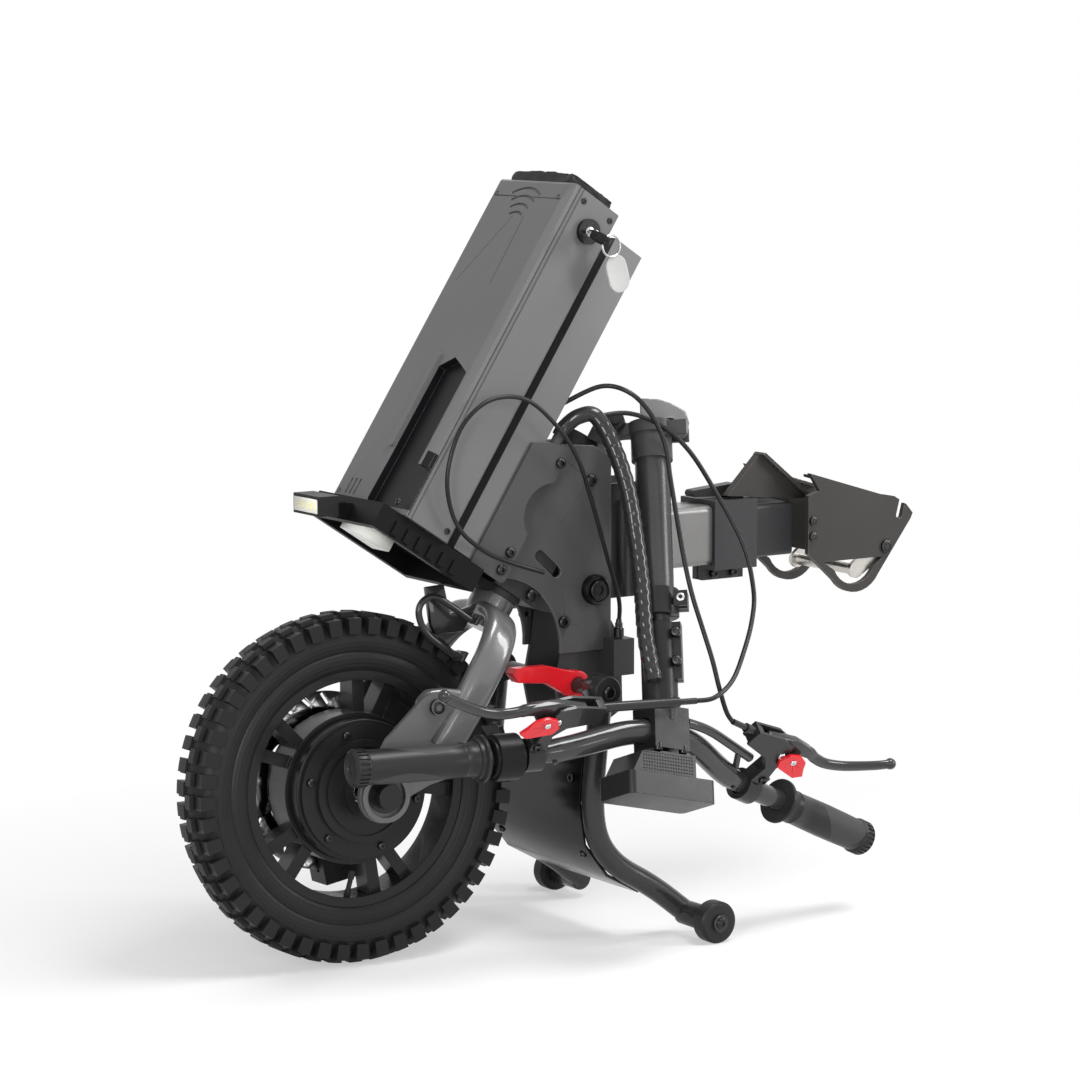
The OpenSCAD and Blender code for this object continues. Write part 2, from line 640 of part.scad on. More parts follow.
module column_collar() color("#29292b") in_column() difference() {
  union() {
    translate([0, 0, column_to - 18]) cylinder(r = 22.5, h = 28);
    translate([-32, -8, column_to - 14]) cube([16, 16, 18]);
    translate([-26, 0, column_to - 5]) rod_y(4.5, -17, 17);
    translate([-33, -20, column_to - 12]) cube([14, 4, 16]);
  }
  translate([0, 0, column_to - 19]) cylinder(r = column_r, h = 19);
  translate([0, 0, column_to - 2]) cylinder(r = mast_r + run_clear, h = 20);
  translate([-34, -1, column_to - 19]) cube([20, 2, 40]);
}
module mast_tube() color("#2f3032") in_column() difference() {
  translate([0, 0, 40]) cylinder(r = mast_r, h = bar_up - bar_r - 44);
  translate([0, 0, 39]) cylinder(r = mast_r - 3, h = bar_up);
}
stem_from = 216;
module stem_clamp() color("#222224") in_column() difference() {
  union() {
    translate([0, 0, stem_from]) cylinder(r = 18.5, h = bar_up - stem_from - 10);
    translate([-24, -9, stem_from]) cube([16, 18, 60]);
    for (z = [stem_from + 12, stem_from + 42]) translate([-19, 0, z]) rod_y(5, -13, 9);
    rotate([0, 0, bar_turn]) translate([-22, -18, bar_up - 24]) cube([44, 36, 44]);
    rotate([0, 0, bar_turn]) for (x = [-16, 16]) for (y = [-14, 14]) translate([x, y, bar_up + 16])
      cylinder(r = 3.5, h = 7);
  }
  translate([0, 0, stem_from - 1]) cylinder(r = mast_r, h = bar_up - bar_r - stem_from - 3);
  translate([-30, -0.8, stem_from - 1]) cube([18, 1.6, 62]);
  rotate([0, 0, bar_turn]) translate([0, 0, bar_up]) rod_x(bar_r, -40, 40);
}

/* Handlebar and what it carries */
module handlebar() color("#2c2d2f") {
  in_bend() {
    rod_path([[-rise_s, 0, rise_q], [-32, 0, 0], [32, 0, 0], [rise_s, 0, rise_q]], bar_r);
    rod_path([[-23.4, 0.6, -16.4], [-55, 0.3, -12], [-124, 0, 14]], 5);
    rod_path([[-106, 0.5, 8], [-116, 0.2, 36]], 3.5);
  }
  for (side = [-1, 1]) in_grip(side) {
    sphere(r = bar_r + 0.4);
    rod_x(grip_bar_r, 0, grip_from + grip_l - 3);
  }
}
module grips() color("#202021") for (side = [-1, 1]) in_grip(side) difference() {
  union() {
    rod_x(24, grip_from, grip_from + 4);
    rod_x(21, grip_from, grip_from + 9);
    rod_x(grip_r - 0.5, grip_from, grip_from + grip_l - 14);
    rod_x(grip_r, grip_from + 12, grip_from + 22);
    rod_x(grip_r + 1, grip_from + grip_l - 16, grip_from + grip_l - 2);
    rod_x(grip_r - 3, grip_from, grip_from + grip_l);
  }
  rod_x(grip_bar_r, grip_from - 1, grip_from + grip_l - 3);
}
// Clamp rings, the two cheeks that hold a lever's pin, and the cable barrels
cheek_side = [[14, 10], [14, 36], [2, 47], [-33, 53], [-33, 73], [0, 78], [18, 74], [24, 62], [26, 40], [33, 12]];
barrel_near = -122;
barrel_far = -46;
module lever_brackets() color("#232325") for (side = [-1, 1]) in_lever(side) {
  difference() {
    union() {
      rod_x(17, 14, 33);
      translate([14, -8.3, 8]) cube([19, 16.6, 18]);
      translate([26, 0, 21]) rod_y(4.5, -8.3, 8.3);
      both_sides() slab(5.3, 3) polygon(cheek_side);
    }
    rod_x(grip_bar_r, 10, 34);
  }
  translate([lever_pivot[0], 0, lever_pivot[1]]) rod_y(3, -10, 8.4);
  translate([0, 0, barrel_z]) {
    translate([-34, -8.3, -11]) cube([8, 16.6, 18]);
    rod_x(5, side > 0 ? barrel_near : barrel_far, -33);
    rod_x(3.2, (side > 0 ? barrel_near : barrel_far) - 20, -40);
  }
}
lever_outline = concat(
  [[-16, 74], [22, 81], [45, 79], [62, 73.5], [80, 73], [100, 79], [125, 90], [140, 99], [147, 106], [154, 111],
   [161, 109], [163, 102], [157, 95], [143, 87], [120, 75], [100, 66], [80, 61], [62, 62], [50, 65], [42, 64],
   [37, 55], [28, 49.5]],
  arc(lever_pivot, 10, -60, -200, 8), [[-16, 68]]);
// Brake lever with the pin that its parking latch turns on
module brake_lever(side) in_lever(side) {
  difference() {
    slab(-5, 10) polygon(lever_outline);
    translate([lever_pivot[0], 0, lever_pivot[1]]) rod_y(3 + run_clear, -6, 6);
  }
  translate([latch_pin[0], 0, latch_pin[1]]) rod_y(2.5, 4, latch_y + 4.7);
}
module brake_lever_left() color("#2b2b2d") brake_lever(1);
module brake_lever_right() color("#2b2b2d") brake_lever(-1);
// Red parking latch on the side of a brake lever
module latch(side) in_lever(side) slab(latch_y, 4) difference() {
  polygon([[15, 54], [20, 46], [48, 42], [57, 49], [50, 57], [44, 66], [32, 70], [20, 66]]);
  translate(latch_pin) circle(r = 2.5 + run_clear);
}
module latch_left() color("#b3161b") latch(1);
module latch_right() color("#b3161b") latch(-1);
module throttle() color("#1c1c1e") in_grip(1) difference() {
  union() {
    rod_x(23.5, 40, 66);
    rod_x(20, 37, 69);
    translate([44, 16, -7]) cube([18, 26, 6]);
  }
  rod_x(grip_bar_r + run_clear, 30, 76);
}
module display() color("#1b1b1d") in_bar() {
  translate([-46, -28, 50]) linear_extrude(24) polygon(rounded([0, 0], [108, 56], 6));
  slab(-24, 48) polygon([[57, 51], [44, 28], [-24, 26], [-24, 51]]);
  translate([-14, -14, 23 + seat]) cube([28, 28, 6]);
}

/* Docking arm */
module box_tube(x0, x1, w, h, t, r) difference() {
  sheet_x(x1, x0 - x1) polygon(rounded([-w / 2, arm_z - h / 2], [w / 2, arm_z + h / 2], r));
  sheet_x(x1 - 1, x0 - x1 + 2)
    polygon(rounded([t - w / 2, arm_z - h / 2 + t], [w / 2 - t, arm_z + h / 2 - t], r - t));
}
inner_w = arm_w - 2 * arm_wall - 0.4;
inner_h = arm_h - 2 * arm_wall - 0.4;
module arm_tube() color("#8f9193") in_frame() box_tube(arm_start, arm_end, arm_w, arm_h, arm_wall, 7);
module arm_bracket() color("#353537") in_frame() {
  both_sides() {
    slab(arm_w / 2 + seat, 5.7) polygon([[-276, 350], [-276, 436], [-296, 470], [-366, 470], [-376, 460], [-376, 362],
      [-364, 350]]);
    for (x = [-322, -346]) translate([x, plate_in + 1, 352]) cylinder(r = 7, h = 100);
  }
  translate([-372, -arm_w / 2 - 1, arm_z - arm_h / 2 - 8]) cube([98, arm_w + 2, 8]);
}
module arm_collar() color("#3a3a3c") in_frame() {
  difference() {
    union() {
      translate([-498, -arm_w / 2 - 5, arm_z - arm_h / 2 - 5]) cube([56, arm_w + 10, arm_h + 10]);
      translate([-496, -9, arm_z - arm_h / 2 - 18]) cube([54, 18, 14]);
      both_sides() translate([-494, 8, arm_z + arm_h / 2 + 4]) cube([16, 4, 13]);
    }
    translate([arm_end, -arm_w / 2, arm_z - arm_h / 2]) cube([40, arm_w, arm_h]);
    translate([-500, -inner_w / 2 - 0.2, arm_z - inner_h / 2 - 0.2]) cube([60, inner_w + 0.4, inner_h + 0.4]);
    translate([-500, -1, arm_z - arm_h / 2 - 20]) cube([60, 2, 26]);
  }
  for (x = [-482, -456]) translate([x, 0, arm_z - arm_h / 2 - 11]) rod_y(5, -12.5, 12.5);
  translate([arm_lever_at[0], 0, arm_lever_at[1]]) rod_y(3, -13, 13);
}
module arm_lever() color("#2a2a2c") in_frame() slab(-7.6, 15.2) difference() {
  polygon(link(arm_lever_at, 6.8, [-434, arm_lever_at[1] - 1.5], 3.8));
  translate(arm_lever_at) circle(r = 3 + run_clear);
}
module dock_tube() color("#3d3f41") in_frame() box_tube(-345, -552, inner_w, inner_h, arm_wall, 5.5);
cheek_outline = concat(
  [[-545, 444], [-560, 449], [-547, 468], [-642, 440], [-663, 436], [-680, 426], [-689, 416], [-686, 410]],
  arc([-610, 372], 37, 210, 325, 10), [[-545, 381]]);
module dock_head() color("#4a4a4c") in_frame() {
  both_sides() {
    slab(dock_y - dock_t, dock_t) difference() {
      polygon(cheek_outline);
      translate(notch_at) rotate(15) {
        circle(r = notch_r);
        translate([-notch_r, 0]) square([2 * notch_r, 40]);
      }
      polygon(concat([[-648, 371]], arc([-608, 374], 30, 205, 335, 10), [[-566, 371]]));
      translate(jaw_pivot) circle(r = 4);
    }
    slab(dock_y - 16, 11) polygon([[-550, 466], [-642, 439], [-642, 436], [-550, 463]]);
    for (p = [[-551, 417], [-551, 400]]) translate([p[0], 0, p[1]]) rod_y(4.5, dock_y, dock_y + 3);
    translate([jaw_pivot[0], 0, jaw_pivot[1]]) rod_y(7, dock_y + seat, dock_y + 3);
  }
  slab(14, 10) polygon([[-506, 488], [-464, 446], [-551, 438], [-556, 434], [-574, 434], [-570, 437]]);
  slab(14, 19) polygon([[-505, 488], [-508, 490], [-576, 436], [-573, 433]]);
  translate([-561, -dock_y + 1, 384]) cube([9, 2 * dock_y - 2, 52]);
  translate([-576, -dock_y + 1, 432]) cube([25, 2 * dock_y - 2, 6]);
  translate([jaw_pivot[0], 0, jaw_pivot[1]]) rod_y(4, -dock_y, dock_y);
}
jaw_y = dock_y - dock_t - gap;
module dock_jaw() color("#a3a5a8") in_frame() {
  both_sides() slab(jaw_y - 5, 5) difference() {
    union() {
      polygon(link(jaw_pivot, 11, [-655, 426], 6));
      polygon(link(jaw_pivot, 11, [-616, 358], 9));
      polygon(link([-655, 426], 6, [-668, 427], 4));
    }
    translate(jaw_pivot) circle(r = 4 + run_clear);
  }
  translate([-616, 0, 358]) rod_y(6, 1 - jaw_y, jaw_y - 1);
}

/* Stand */
stand_path = [[-250, 267], [-238, 152], [-244, 112], [-268, 82], [-314, 56], [castor_x, castor_z + 1]];
module stand_frame() color("#2b2b2d") in_frame() {
  both_sides() {
    rod_path([for (p = stand_path) [p[0], stand_y, p[1]]], stand_r);
    translate([stand_pivot[0], 0, stand_pivot[1]]) rod_y(16, stand_y - 13, stand_y + 13);
    translate([castor_x, 0, castor_z]) rod_y(13, stand_y - 2, castor_y - castor_w / 2 - gap);
    translate([castor_x, 0, castor_z]) rod_y(5, stand_y, castor_y + castor_w / 2 + 2);
    translate([castor_x, 0, castor_z]) rod_y(9, castor_y + castor_w / 2 + gap, castor_y + castor_w / 2 + 5);
  }
  translate([stand_pivot[0], 0, stand_pivot[1]]) rod_y(pivot_r, -stand_y, stand_y);
}
guard_front = [[-229.8, 200], [-225, 152], [-231.6, 107], [-259.3, 71.4], [-300, 49]];
guard_back = [[-302, 51.6], [-262, 73.4], [-234.4, 108], [-228, 152], [-232.8, 200]];
module stand_guard() color("#29292b") in_frame() difference() {
  slab(-stand_y + 4, 2 * stand_y - 8) polygon(concat(guard_front, guard_back));
  for (y = [-84, 0, 84]) translate([-246, y, 60]) rotate([0, 40, 0]) cylinder(r = 4, h = 60, center = true);
}
module stand_wheel(side) in_frame() translate([castor_x, side * castor_y, castor_z]) difference() {
  union() {
    rod_y(castor_r, 2 - castor_w / 2, castor_w / 2 - 2);
    rod_y(castor_r - 2, -castor_w / 2, castor_w / 2);
  }
  rod_y(5 + run_clear, -castor_w, castor_w);
  rotate([90, 0, 0]) rotate_extrude() translate([castor_r - 7, castor_w / 2 - 2]) square([2, 4]);
}
module stand_wheel_left() color("#1d1d1e") stand_wheel(1);
module stand_wheel_right() color("#1d1d1e") stand_wheel(-1);
// Red lever on a round knob round the stand's shaft
module release_lever() color("#c0181d") in_frame() slab(40, 14) difference() {
  union() {
    translate(stand_pivot) circle(r = 15);
    polygon([[-250, 281], [-236, 284], [-214, 290], [-174, 291], [-170, 285], [-176, 276], [-212, 272], [-236, 258],
      [-250, 253]]);
  }
  translate(stand_pivot) circle(r = pivot_r + run_clear);
}

/* Cables */
// Point on a smooth curve through four neighbours
function curve(a, b, c, d, t) = 0.5 * ((2 * b) + (c - a) * t + (2 * a - 5 * b + 4 * c - d) * t * t
  + (3 * b - a - 3 * c + d) * t * t * t);
// Smooth route through hand-chosen points, with n steps between two of them
function route(p, n) = concat([for (i = [0:len(p) - 2]) for (k = [0:n - 1])
  curve(p[max(i - 1, 0)], p[i], p[i + 1], p[min(i + 2, len(p) - 1)], k / n)], [p[len(p) - 1]]);
// Round cord swept along a route
module cord(p, r, sides = 8) {
  n = len(p);
  rings = [for (i = [0:n - 1]) let (
    d = p[min(i + 1, n - 1)] - p[max(i - 1, 0)],
    u = cross(d, [0, 1, 0]) / norm(cross(d, [0, 1, 0])),
    v = cross(u, d) / norm(cross(u, d)))
    for (k = [0:sides - 1]) p[i] + r * (cos(360 * k / sides) * u + sin(360 * k / sides) * v)];
  faces = concat(
    [[for (k = [sides - 1:-1:0]) k]],
    [for (i = [0:n - 2]) for (k = [0:sides - 1]) [i * sides + k, i * sides + (k + 1) % sides,
      (i + 1) * sides + (k + 1) % sides, (i + 1) * sides + k]],
    [[for (k = [0:sides - 1]) (n - 1) * sides + k]]);
  polyhedron(points = rings, faces = faces, convexity = 6);
}
harness_points = [[-234.5, 42.2, 524.9], [-241, 43.5, 534.5], [-252, 52, 545], [-266, 62, 545], [-278, 76, 515],
  [-285, 92, 471], [-286, 106, 420], [-280, 125, 373], [-271, 144.5, 327], [-267, 164.6, 286]];
near_hose = [[-295.4, 199.5, 267.5], [-316, 201, 269], [-344, 193, 282], [-368, 180, 307], [-390, 165, 337],
  [-403, 150, 366], [-404, 130, 411], [-386, 104, 466], [-359, 94, 509], [-331, 82, 535], [-300, 66, 547],
  [-258, 55, 542]];
far_hose = [[-346, 190.7, 240.2], [-339, 190, 251], [-333, 186, 275], [-330, 178, 303], [-327, 165, 334],
  [-323, 152, 368], [-322, 139, 404], [-325, 122, 445], [-330, 104, 482], [-331, 94, 514], [-320, 85, 545],
  [-303, 70, 568], [-282, 48, 574], [-242, 36, 557]];
loop_a = [[-307, 46, 326.3], [-304, 50, 352], [-285, 54, 402], [-264, 60, 454], [-239, 70, 503], [-206, 78, 541], [-167, 82, 569],
  [-125, 82, 571], [-92, 82, 548], [-75, 82, 509], [-76, 80, 474], [-93, 76, 441], [-131, 66, 415], [-169, 58, 400],
  [-206, 56, 388]];
module harness() color("#1a1a1b") in_frame() cord(route(harness_points, 2), 9);
module brake_hoses() color("#161617") in_frame() {
  cord(route(near_hose, 2), 2.6);
  cord(route(far_hose, 2), 2.6);
}
module side_loops() color("#161617") in_frame() cord(route(loop_a, 2), 2.4);

side_plate_left();
side_plate_right();
bracket_plates();
head_block();
battery_rail();
battery_tray();
plate_screws();
controller();
arm_tube();
arm_collar();
arm_bracket();
under_strip();
stand_bracket();
lamp_body();
lamp_lens();
battery_case();
battery_cover();
battery_handle();
lock_barrel();
key();
fork();
dropouts();
stator_axle();
axle_caps();
brake_caliper();
crown_bracket();
hinge_base();
tyre();
rim();
hub_shell();
hub_cover();
brake_disc();
hub_bearings();
hinge_head();
column_tube();
column_collar();
hinge_lever();
mast_tube();
stem_clamp();
handlebar();
grips();
lever_brackets();
display();
throttle();
brake_lever_left();
brake_lever_right();
latch_left();
latch_right();
dock_tube();
dock_head();
dock_jaw();
arm_lever();
stand_frame();
stand_guard();
stand_wheel_left();
stand_wheel_right();
release_lever();
harness();
brake_hoses();
side_loops();
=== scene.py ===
"""Looks of the folded wheelchair power assist: finishes, small parts, cables, light and camera."""

import json
import math

import bmesh
import bpy
from mathutils import Matrix, Vector


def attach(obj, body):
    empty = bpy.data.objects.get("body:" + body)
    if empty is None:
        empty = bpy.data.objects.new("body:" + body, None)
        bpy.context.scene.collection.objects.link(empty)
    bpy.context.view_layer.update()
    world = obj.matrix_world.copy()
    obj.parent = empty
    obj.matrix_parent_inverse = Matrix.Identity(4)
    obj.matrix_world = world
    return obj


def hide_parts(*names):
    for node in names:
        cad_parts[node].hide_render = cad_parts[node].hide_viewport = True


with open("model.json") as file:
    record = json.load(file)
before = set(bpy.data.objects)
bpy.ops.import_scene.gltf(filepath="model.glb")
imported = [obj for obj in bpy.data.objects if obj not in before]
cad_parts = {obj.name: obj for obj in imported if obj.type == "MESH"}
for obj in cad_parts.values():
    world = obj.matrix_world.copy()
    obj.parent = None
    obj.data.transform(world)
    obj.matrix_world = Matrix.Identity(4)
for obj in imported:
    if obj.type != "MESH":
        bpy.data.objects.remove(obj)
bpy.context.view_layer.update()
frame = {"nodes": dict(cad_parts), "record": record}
nodes = frame["nodes"]

MM = 0.001
# The part's own sizes that place its bodies at rest, in metres and degrees
ORIGIN = Vector((0.2584, -0.0264, 0.0))
RAKE = math.radians(33)
CROWN_X, CROWN_Z = -0.177, 0.350
CROWN = ORIGIN + Vector((CROWN_X, 0.0, CROWN_Z))
STEER_REST = 6
FORK_OFFSET = 0.050
TYRE_R, TREAD_Y = 0.178, 0.013
PIN_UP, PIN_OUT = 0.228, 0.034
FOLD_SIDE, FOLD_REST = 138.5, 151.5
BAR_UP, BAR_TURN, BAR_LEAN = 0.329, 44, 50


def turned(matrix, axis, degrees):
    return matrix @ Matrix.Rotation(math.radians(degrees), 4, axis)


# Frames of the bodies at rest, the same chain as the solids are drawn in
UPRIGHT = Matrix.Translation(ORIGIN)
RAKED = Matrix.Translation(CROWN) @ Matrix.Rotation(-RAKE, 4, "Y")
STEER = turned(RAKED, "Z", -STEER_REST)
LEAN = math.asin(math.sin(math.radians(STEER_REST)) * math.sin(RAKE))
AXLE_Z = TYRE_R * math.cos(LEAN) + TREAD_Y * math.sin(LEAN)
FORK_RISE = FORK_OFFSET * math.cos(math.radians(STEER_REST)) * math.sin(RAKE)
WHEEL_DROP = (CROWN_Z - AXLE_Z + FORK_RISE) / math.cos(RAKE)
WHEEL = turned(STEER @ Matrix.Translation((FORK_OFFSET, 0, -WHEEL_DROP)), "X", -90)
FOLD = turned(STEER @ Matrix.Translation((0, 0, PIN_UP)), "Z", FOLD_SIDE)
FOLDED = turned(FOLD @ Matrix.Translation((PIN_OUT, 0, 0)), "Y", FOLD_REST)
COLUMN = FOLDED @ Matrix.Translation((-PIN_OUT, 0, 0))
BAR = turned(COLUMN @ Matrix.Translation((0, 0, BAR_UP)), "Z", -BAR_TURN)
BEND = turned(BAR, "X", -BAR_LEAN)
LOCK = RAKED @ Matrix.Translation((0.148, 0.069, 0.362))
FLIP = Matrix.Scale(-1, 4, (1, 0, 0))
# Where the bar's grip ends start, in its own frame in millimetres, and how far they sweep up in degrees
GRIP_OUT, GRIP_UP, GRIP_SWEEP = 115, 44, 13.5


def grip_frame(side):
    base = BEND if side > 0 else BEND @ FLIP
    return turned(base @ Matrix.Translation((GRIP_OUT * MM, 0, GRIP_UP * MM)), "Y", -GRIP_SWEEP)


def lever_frame(side):
    return turned(grip_frame(side), "X", -191)


# Camera at the photograph's angle
BACK = Vector((0.5543, 0.8218, 0.1323)).normalized()
camera_data = bpy.data.cameras.new("view")
SENSOR = 36
FOCAL_PIXELS, PHOTO_PIXELS = 3700, 1080
camera_data.sensor_width = SENSOR
camera_data.lens = FOCAL_PIXELS / PHOTO_PIXELS * SENSOR
camera = bpy.data.objects.new("view", camera_data)
bpy.context.scene.collection.objects.link(camera)
camera.location = ORIGIN + Vector((1.8865, 3.1515, 0.9201))
camera.rotation_euler = (-BACK).to_track_quat("-Z", "Y").to_euler()
bpy.context.scene.camera = camera
bpy.context.scene.view_settings.view_transform = "Standard"


# Finishes
class Level:
    """A value in a material that is worked with like a number."""

    def __init__(self, tree, socket):
        self.tree = tree
        self.socket = socket

    def by(self, operation, *others):
        return maths(self.tree, operation, self, *others)

    def __add__(self, other):
        return self.by("ADD", other)

    __radd__ = __add__

    def __sub__(self, other):
        return self.by("SUBTRACT", other)

    def __rsub__(self, other):
        return maths(self.tree, "SUBTRACT", other, self)

    def __mul__(self, other):
        return self.by("MULTIPLY", other)

    __rmul__ = __mul__

    def __truediv__(self, other):
        return self.by("DIVIDE", other)

    def above(self, limit):
        """One where the value is over the limit, and nought elsewhere."""
        return self.by("GREATER_THAN", limit)

    def below(self, limit):
        """One where the value is under the limit, and nought elsewhere."""
        return self.by("LESS_THAN", limit)

    def within(self, low, high):
        """One where the value lies between low and high, and nought elsewhere."""
        return self.above(low) * self.below(high)

    def wrapped(self, step):
        """Distance past the last whole step, from nought to one."""
        return (self / step).by("FRACT")


def feed(tree, slot, value):
    """Gives an input a fixed value, or ties it to a level."""
    if isinstance(value, Level):
        tree.links.new(value.socket, slot)
    else:
        slot.default_value = value


def maths(tree, operation, *values):
    """One step of maths on numbers and levels."""
    node = tree.nodes.new("ShaderNodeMath")
    node.operation = operation
    for slot, value in zip(node.inputs, values):
        feed(tree, slot, value)
    return Level(tree, node.outputs[0])


class Finish:
    """A material on the principled shader, built node by node."""

    def __init__(self, name, colour, roughness, metallic=0.0, **fixed):
        self.material = bpy.data.materials.new(name)
        self.material.use_nodes = True
        self.tree = self.material.node_tree
        self.shader = self.tree.nodes["Principled BSDF"]
        self.set("Base Color", (*colour, 1))
        self.set("Roughness", roughness)
        self.set("Metallic", metallic)
        self.set("Specular IOR Level", 0.20)
        for key, value in fixed.items():
            self.set(key.replace("_", " "), value)
        self.place = self.node("ShaderNodeTexCoord", output="Object")

    def set(self, name, value):
        feed(self.tree, self.shader.inputs[name], value)

    def node(self, kind, output=0, **inputs):
        made = self.tree.nodes.new(kind)
        for key, value in inputs.items():
            feed(self.tree, made.inputs[key.replace("_", " ")], value)
        return Level(self.tree, made.outputs[output])

    def noise(self, scale, detail=2.0, roughness=0.5, vector=None):
        return self.node("ShaderNodeTexNoise", Vector=vector or self.place, Scale=scale, Detail=detail,
                         Roughness=roughness)

    def seen_from(self, matrix):
        """Place on the surface in the frame of one body, in metres, as three values."""
        back = matrix.to_3x3().normalized().transposed()
        away = -(back @ matrix.translation)
        turn = back.to_euler("XYZ")
        inside = self.node("ShaderNodeMapping", Vector=self.place, Location=away, Rotation=turn)
        return [self.node("ShaderNodeSeparateXYZ", output=k, Vector=inside) for k in range(3)]

    def mix(self, factor, a, b):
        """Colour between a and b."""
        made = self.tree.nodes.new("ShaderNodeMix")
        made.data_type = "RGBA"
        feed(self.tree, made.inputs[0], factor)
        for slot, colour in ((made.inputs[6], a), (made.inputs[7], b)):
            feed(self.tree, slot, colour if isinstance(colour, Level) else (*colour, 1))
        return Level(self.tree, made.outputs[2])

    def bump(self, height, strength, distance):
        self.set("Normal", self.node("ShaderNodeBump", Height=height, Strength=strength, Distance=distance))


def shades(colour, spread):
    """Darker and lighter neighbours of a colour."""
    return tuple(c * (1 - spread) for c in colour), tuple(c * (1 + spread) for c in colour)


def powder_coat(name, colour, roughness=0.42, grain=1.0, **fixed):
    """Satin powder coat: fine orange peel, slight cloudiness, and a few pale rub marks."""
    f = Finish(name, colour, roughness, **fixed)
    cloud = f.mix(f.noise(14.0, 3.0), *shades(colour, 0.16))
    rubs = f.node("ShaderNodeMapRange", Value=f.noise(210.0, 4.0, 0.7), From_Min=0.70, From_Max=0.78)
    f.set("Base Color", f.mix(rubs * 0.25, cloud, (0.20, 0.20, 0.20)))
    f.set("Roughness", f.noise(60.0) * 0.14 + (roughness - 0.07))
    f.bump(f.noise(1300.0, 1.0), 0.10 * grain, 0.0004)
    return f.material


def anodised(name, colour, roughness=0.34, stretch=(1.0, 1.0, 1.0), metallic=0.75):
    """Anodised aluminium with faint drawn lines along one way."""
    f = Finish(name, colour, roughness, metallic)
    lines = f.noise(900.0, 2.0, vector=f.node("ShaderNodeMapping", Vector=f.place, Scale=stretch,
                                              Rotation=(0, RAKE, 0)))
    f.set("Roughness", lines * 0.14 + (roughness - 0.07))
    f.set("Base Color", f.mix(f.noise(9.0, 2.0), *shades(colour, 0.12)))
    f.bump(lines, 0.05, 0.0003)
    return f.material


def moulded(name, colour, roughness=0.5, grain=900.0, depth=0.25):
    """Moulded plastic with a fine spark-eroded grain."""
    f = Finish(name, colour, roughness, Specular_IOR_Level=0.12)
    f.set("Base Color", f.mix(f.noise(18.0), *shades(colour, 0.12)))
    f.set("Roughness", f.noise(40.0) * 0.12 + (roughness - 0.06))
    f.bump(f.noise(grain, 2.0), depth, 0.0004)
    return f.material


def rubber(name, colour, roughness=0.62):
    """Rubber with a dull, patchy bloom."""
    f = Finish(name, colour, roughness)
    patches = f.noise(22.0, 4.0, 0.6)
    f.set("Base Color", f.mix(patches, colour, tuple(c + 0.012 for c in colour)))
    f.set("Roughness", patches * 0.2 + (roughness - 0.1))
    f.bump(f.noise(700.0, 3.0), 0.2, 0.0005)
    return f.material


def steel(name, colour, roughness=0.3):
    """Bare or plated steel with light scuffs."""
    f = Finish(name, colour, roughness, 1.0)
    scuffs = f.noise(260.0, 3.0)
    f.set("Base Color", f.mix(f.noise(35.0), *shades(colour, 0.1)))
    f.set("Roughness", scuffs * 0.2 + (roughness - 0.1))
    f.bump(scuffs, 0.06, 0.0003)
    return f.material


def gloss(name, colour, roughness=0.22):
    """Glossy moulded plastic with shallow flow marks."""
    f = Finish(name, colour, roughness, Coat_Weight=0.4)
    f.set("Base Color", f.mix(f.noise(30.0, 3.0), *shades(colour, 0.1)))
    f.set("Roughness", f.noise(80.0) * 0.1 + (roughness - 0.05))
    f.bump(f.noise(300.0, 1.0), 0.04, 0.0004)
    return f.material


def tyre_rubber():
    """Tyre: dull tread blocks with sipes, finely ringed sidewall, a little floor dust."""
    dark, worn, dusty = (0.007, 0.007, 0.0075), (0.012, 0.012, 0.0125), (0.036, 0.0355, 0.034)
    ring_pitch, sipe_turn = 0.0042, 0.0218
    f = Finish("tyre rubber", dark, 0.5)
    x, y, z = f.seen_from(WHEEL)
    radius = (x * x + y * y).by("SQRT")
    wall = radius.within(0.120, 0.158) * z.by("ABSOLUTE").above(0.015)
    tread = radius.above(0.1735)
    rings = (radius / ring_pitch).by("PINGPONG", 0.5)
    sipes = y.by("ARCTAN2", x).wrapped(sipe_turn).within(0.44, 0.5)
    dust = f.noise(30.0, 4.0, 0.6) * tread
    f.set("Base Color", f.mix(dust * 0.55, f.mix(f.noise(22.0, 4.0, 0.6), dark, worn), dusty))
    f.set("Roughness", f.noise(24.0, 3.0) * 0.18 + 0.34 + tread * 0.10)
    f.bump(rings * wall - sipes * tread + f.noise(600.0, 2.0) * 0.25, 0.5, 0.0006)
    return f.material


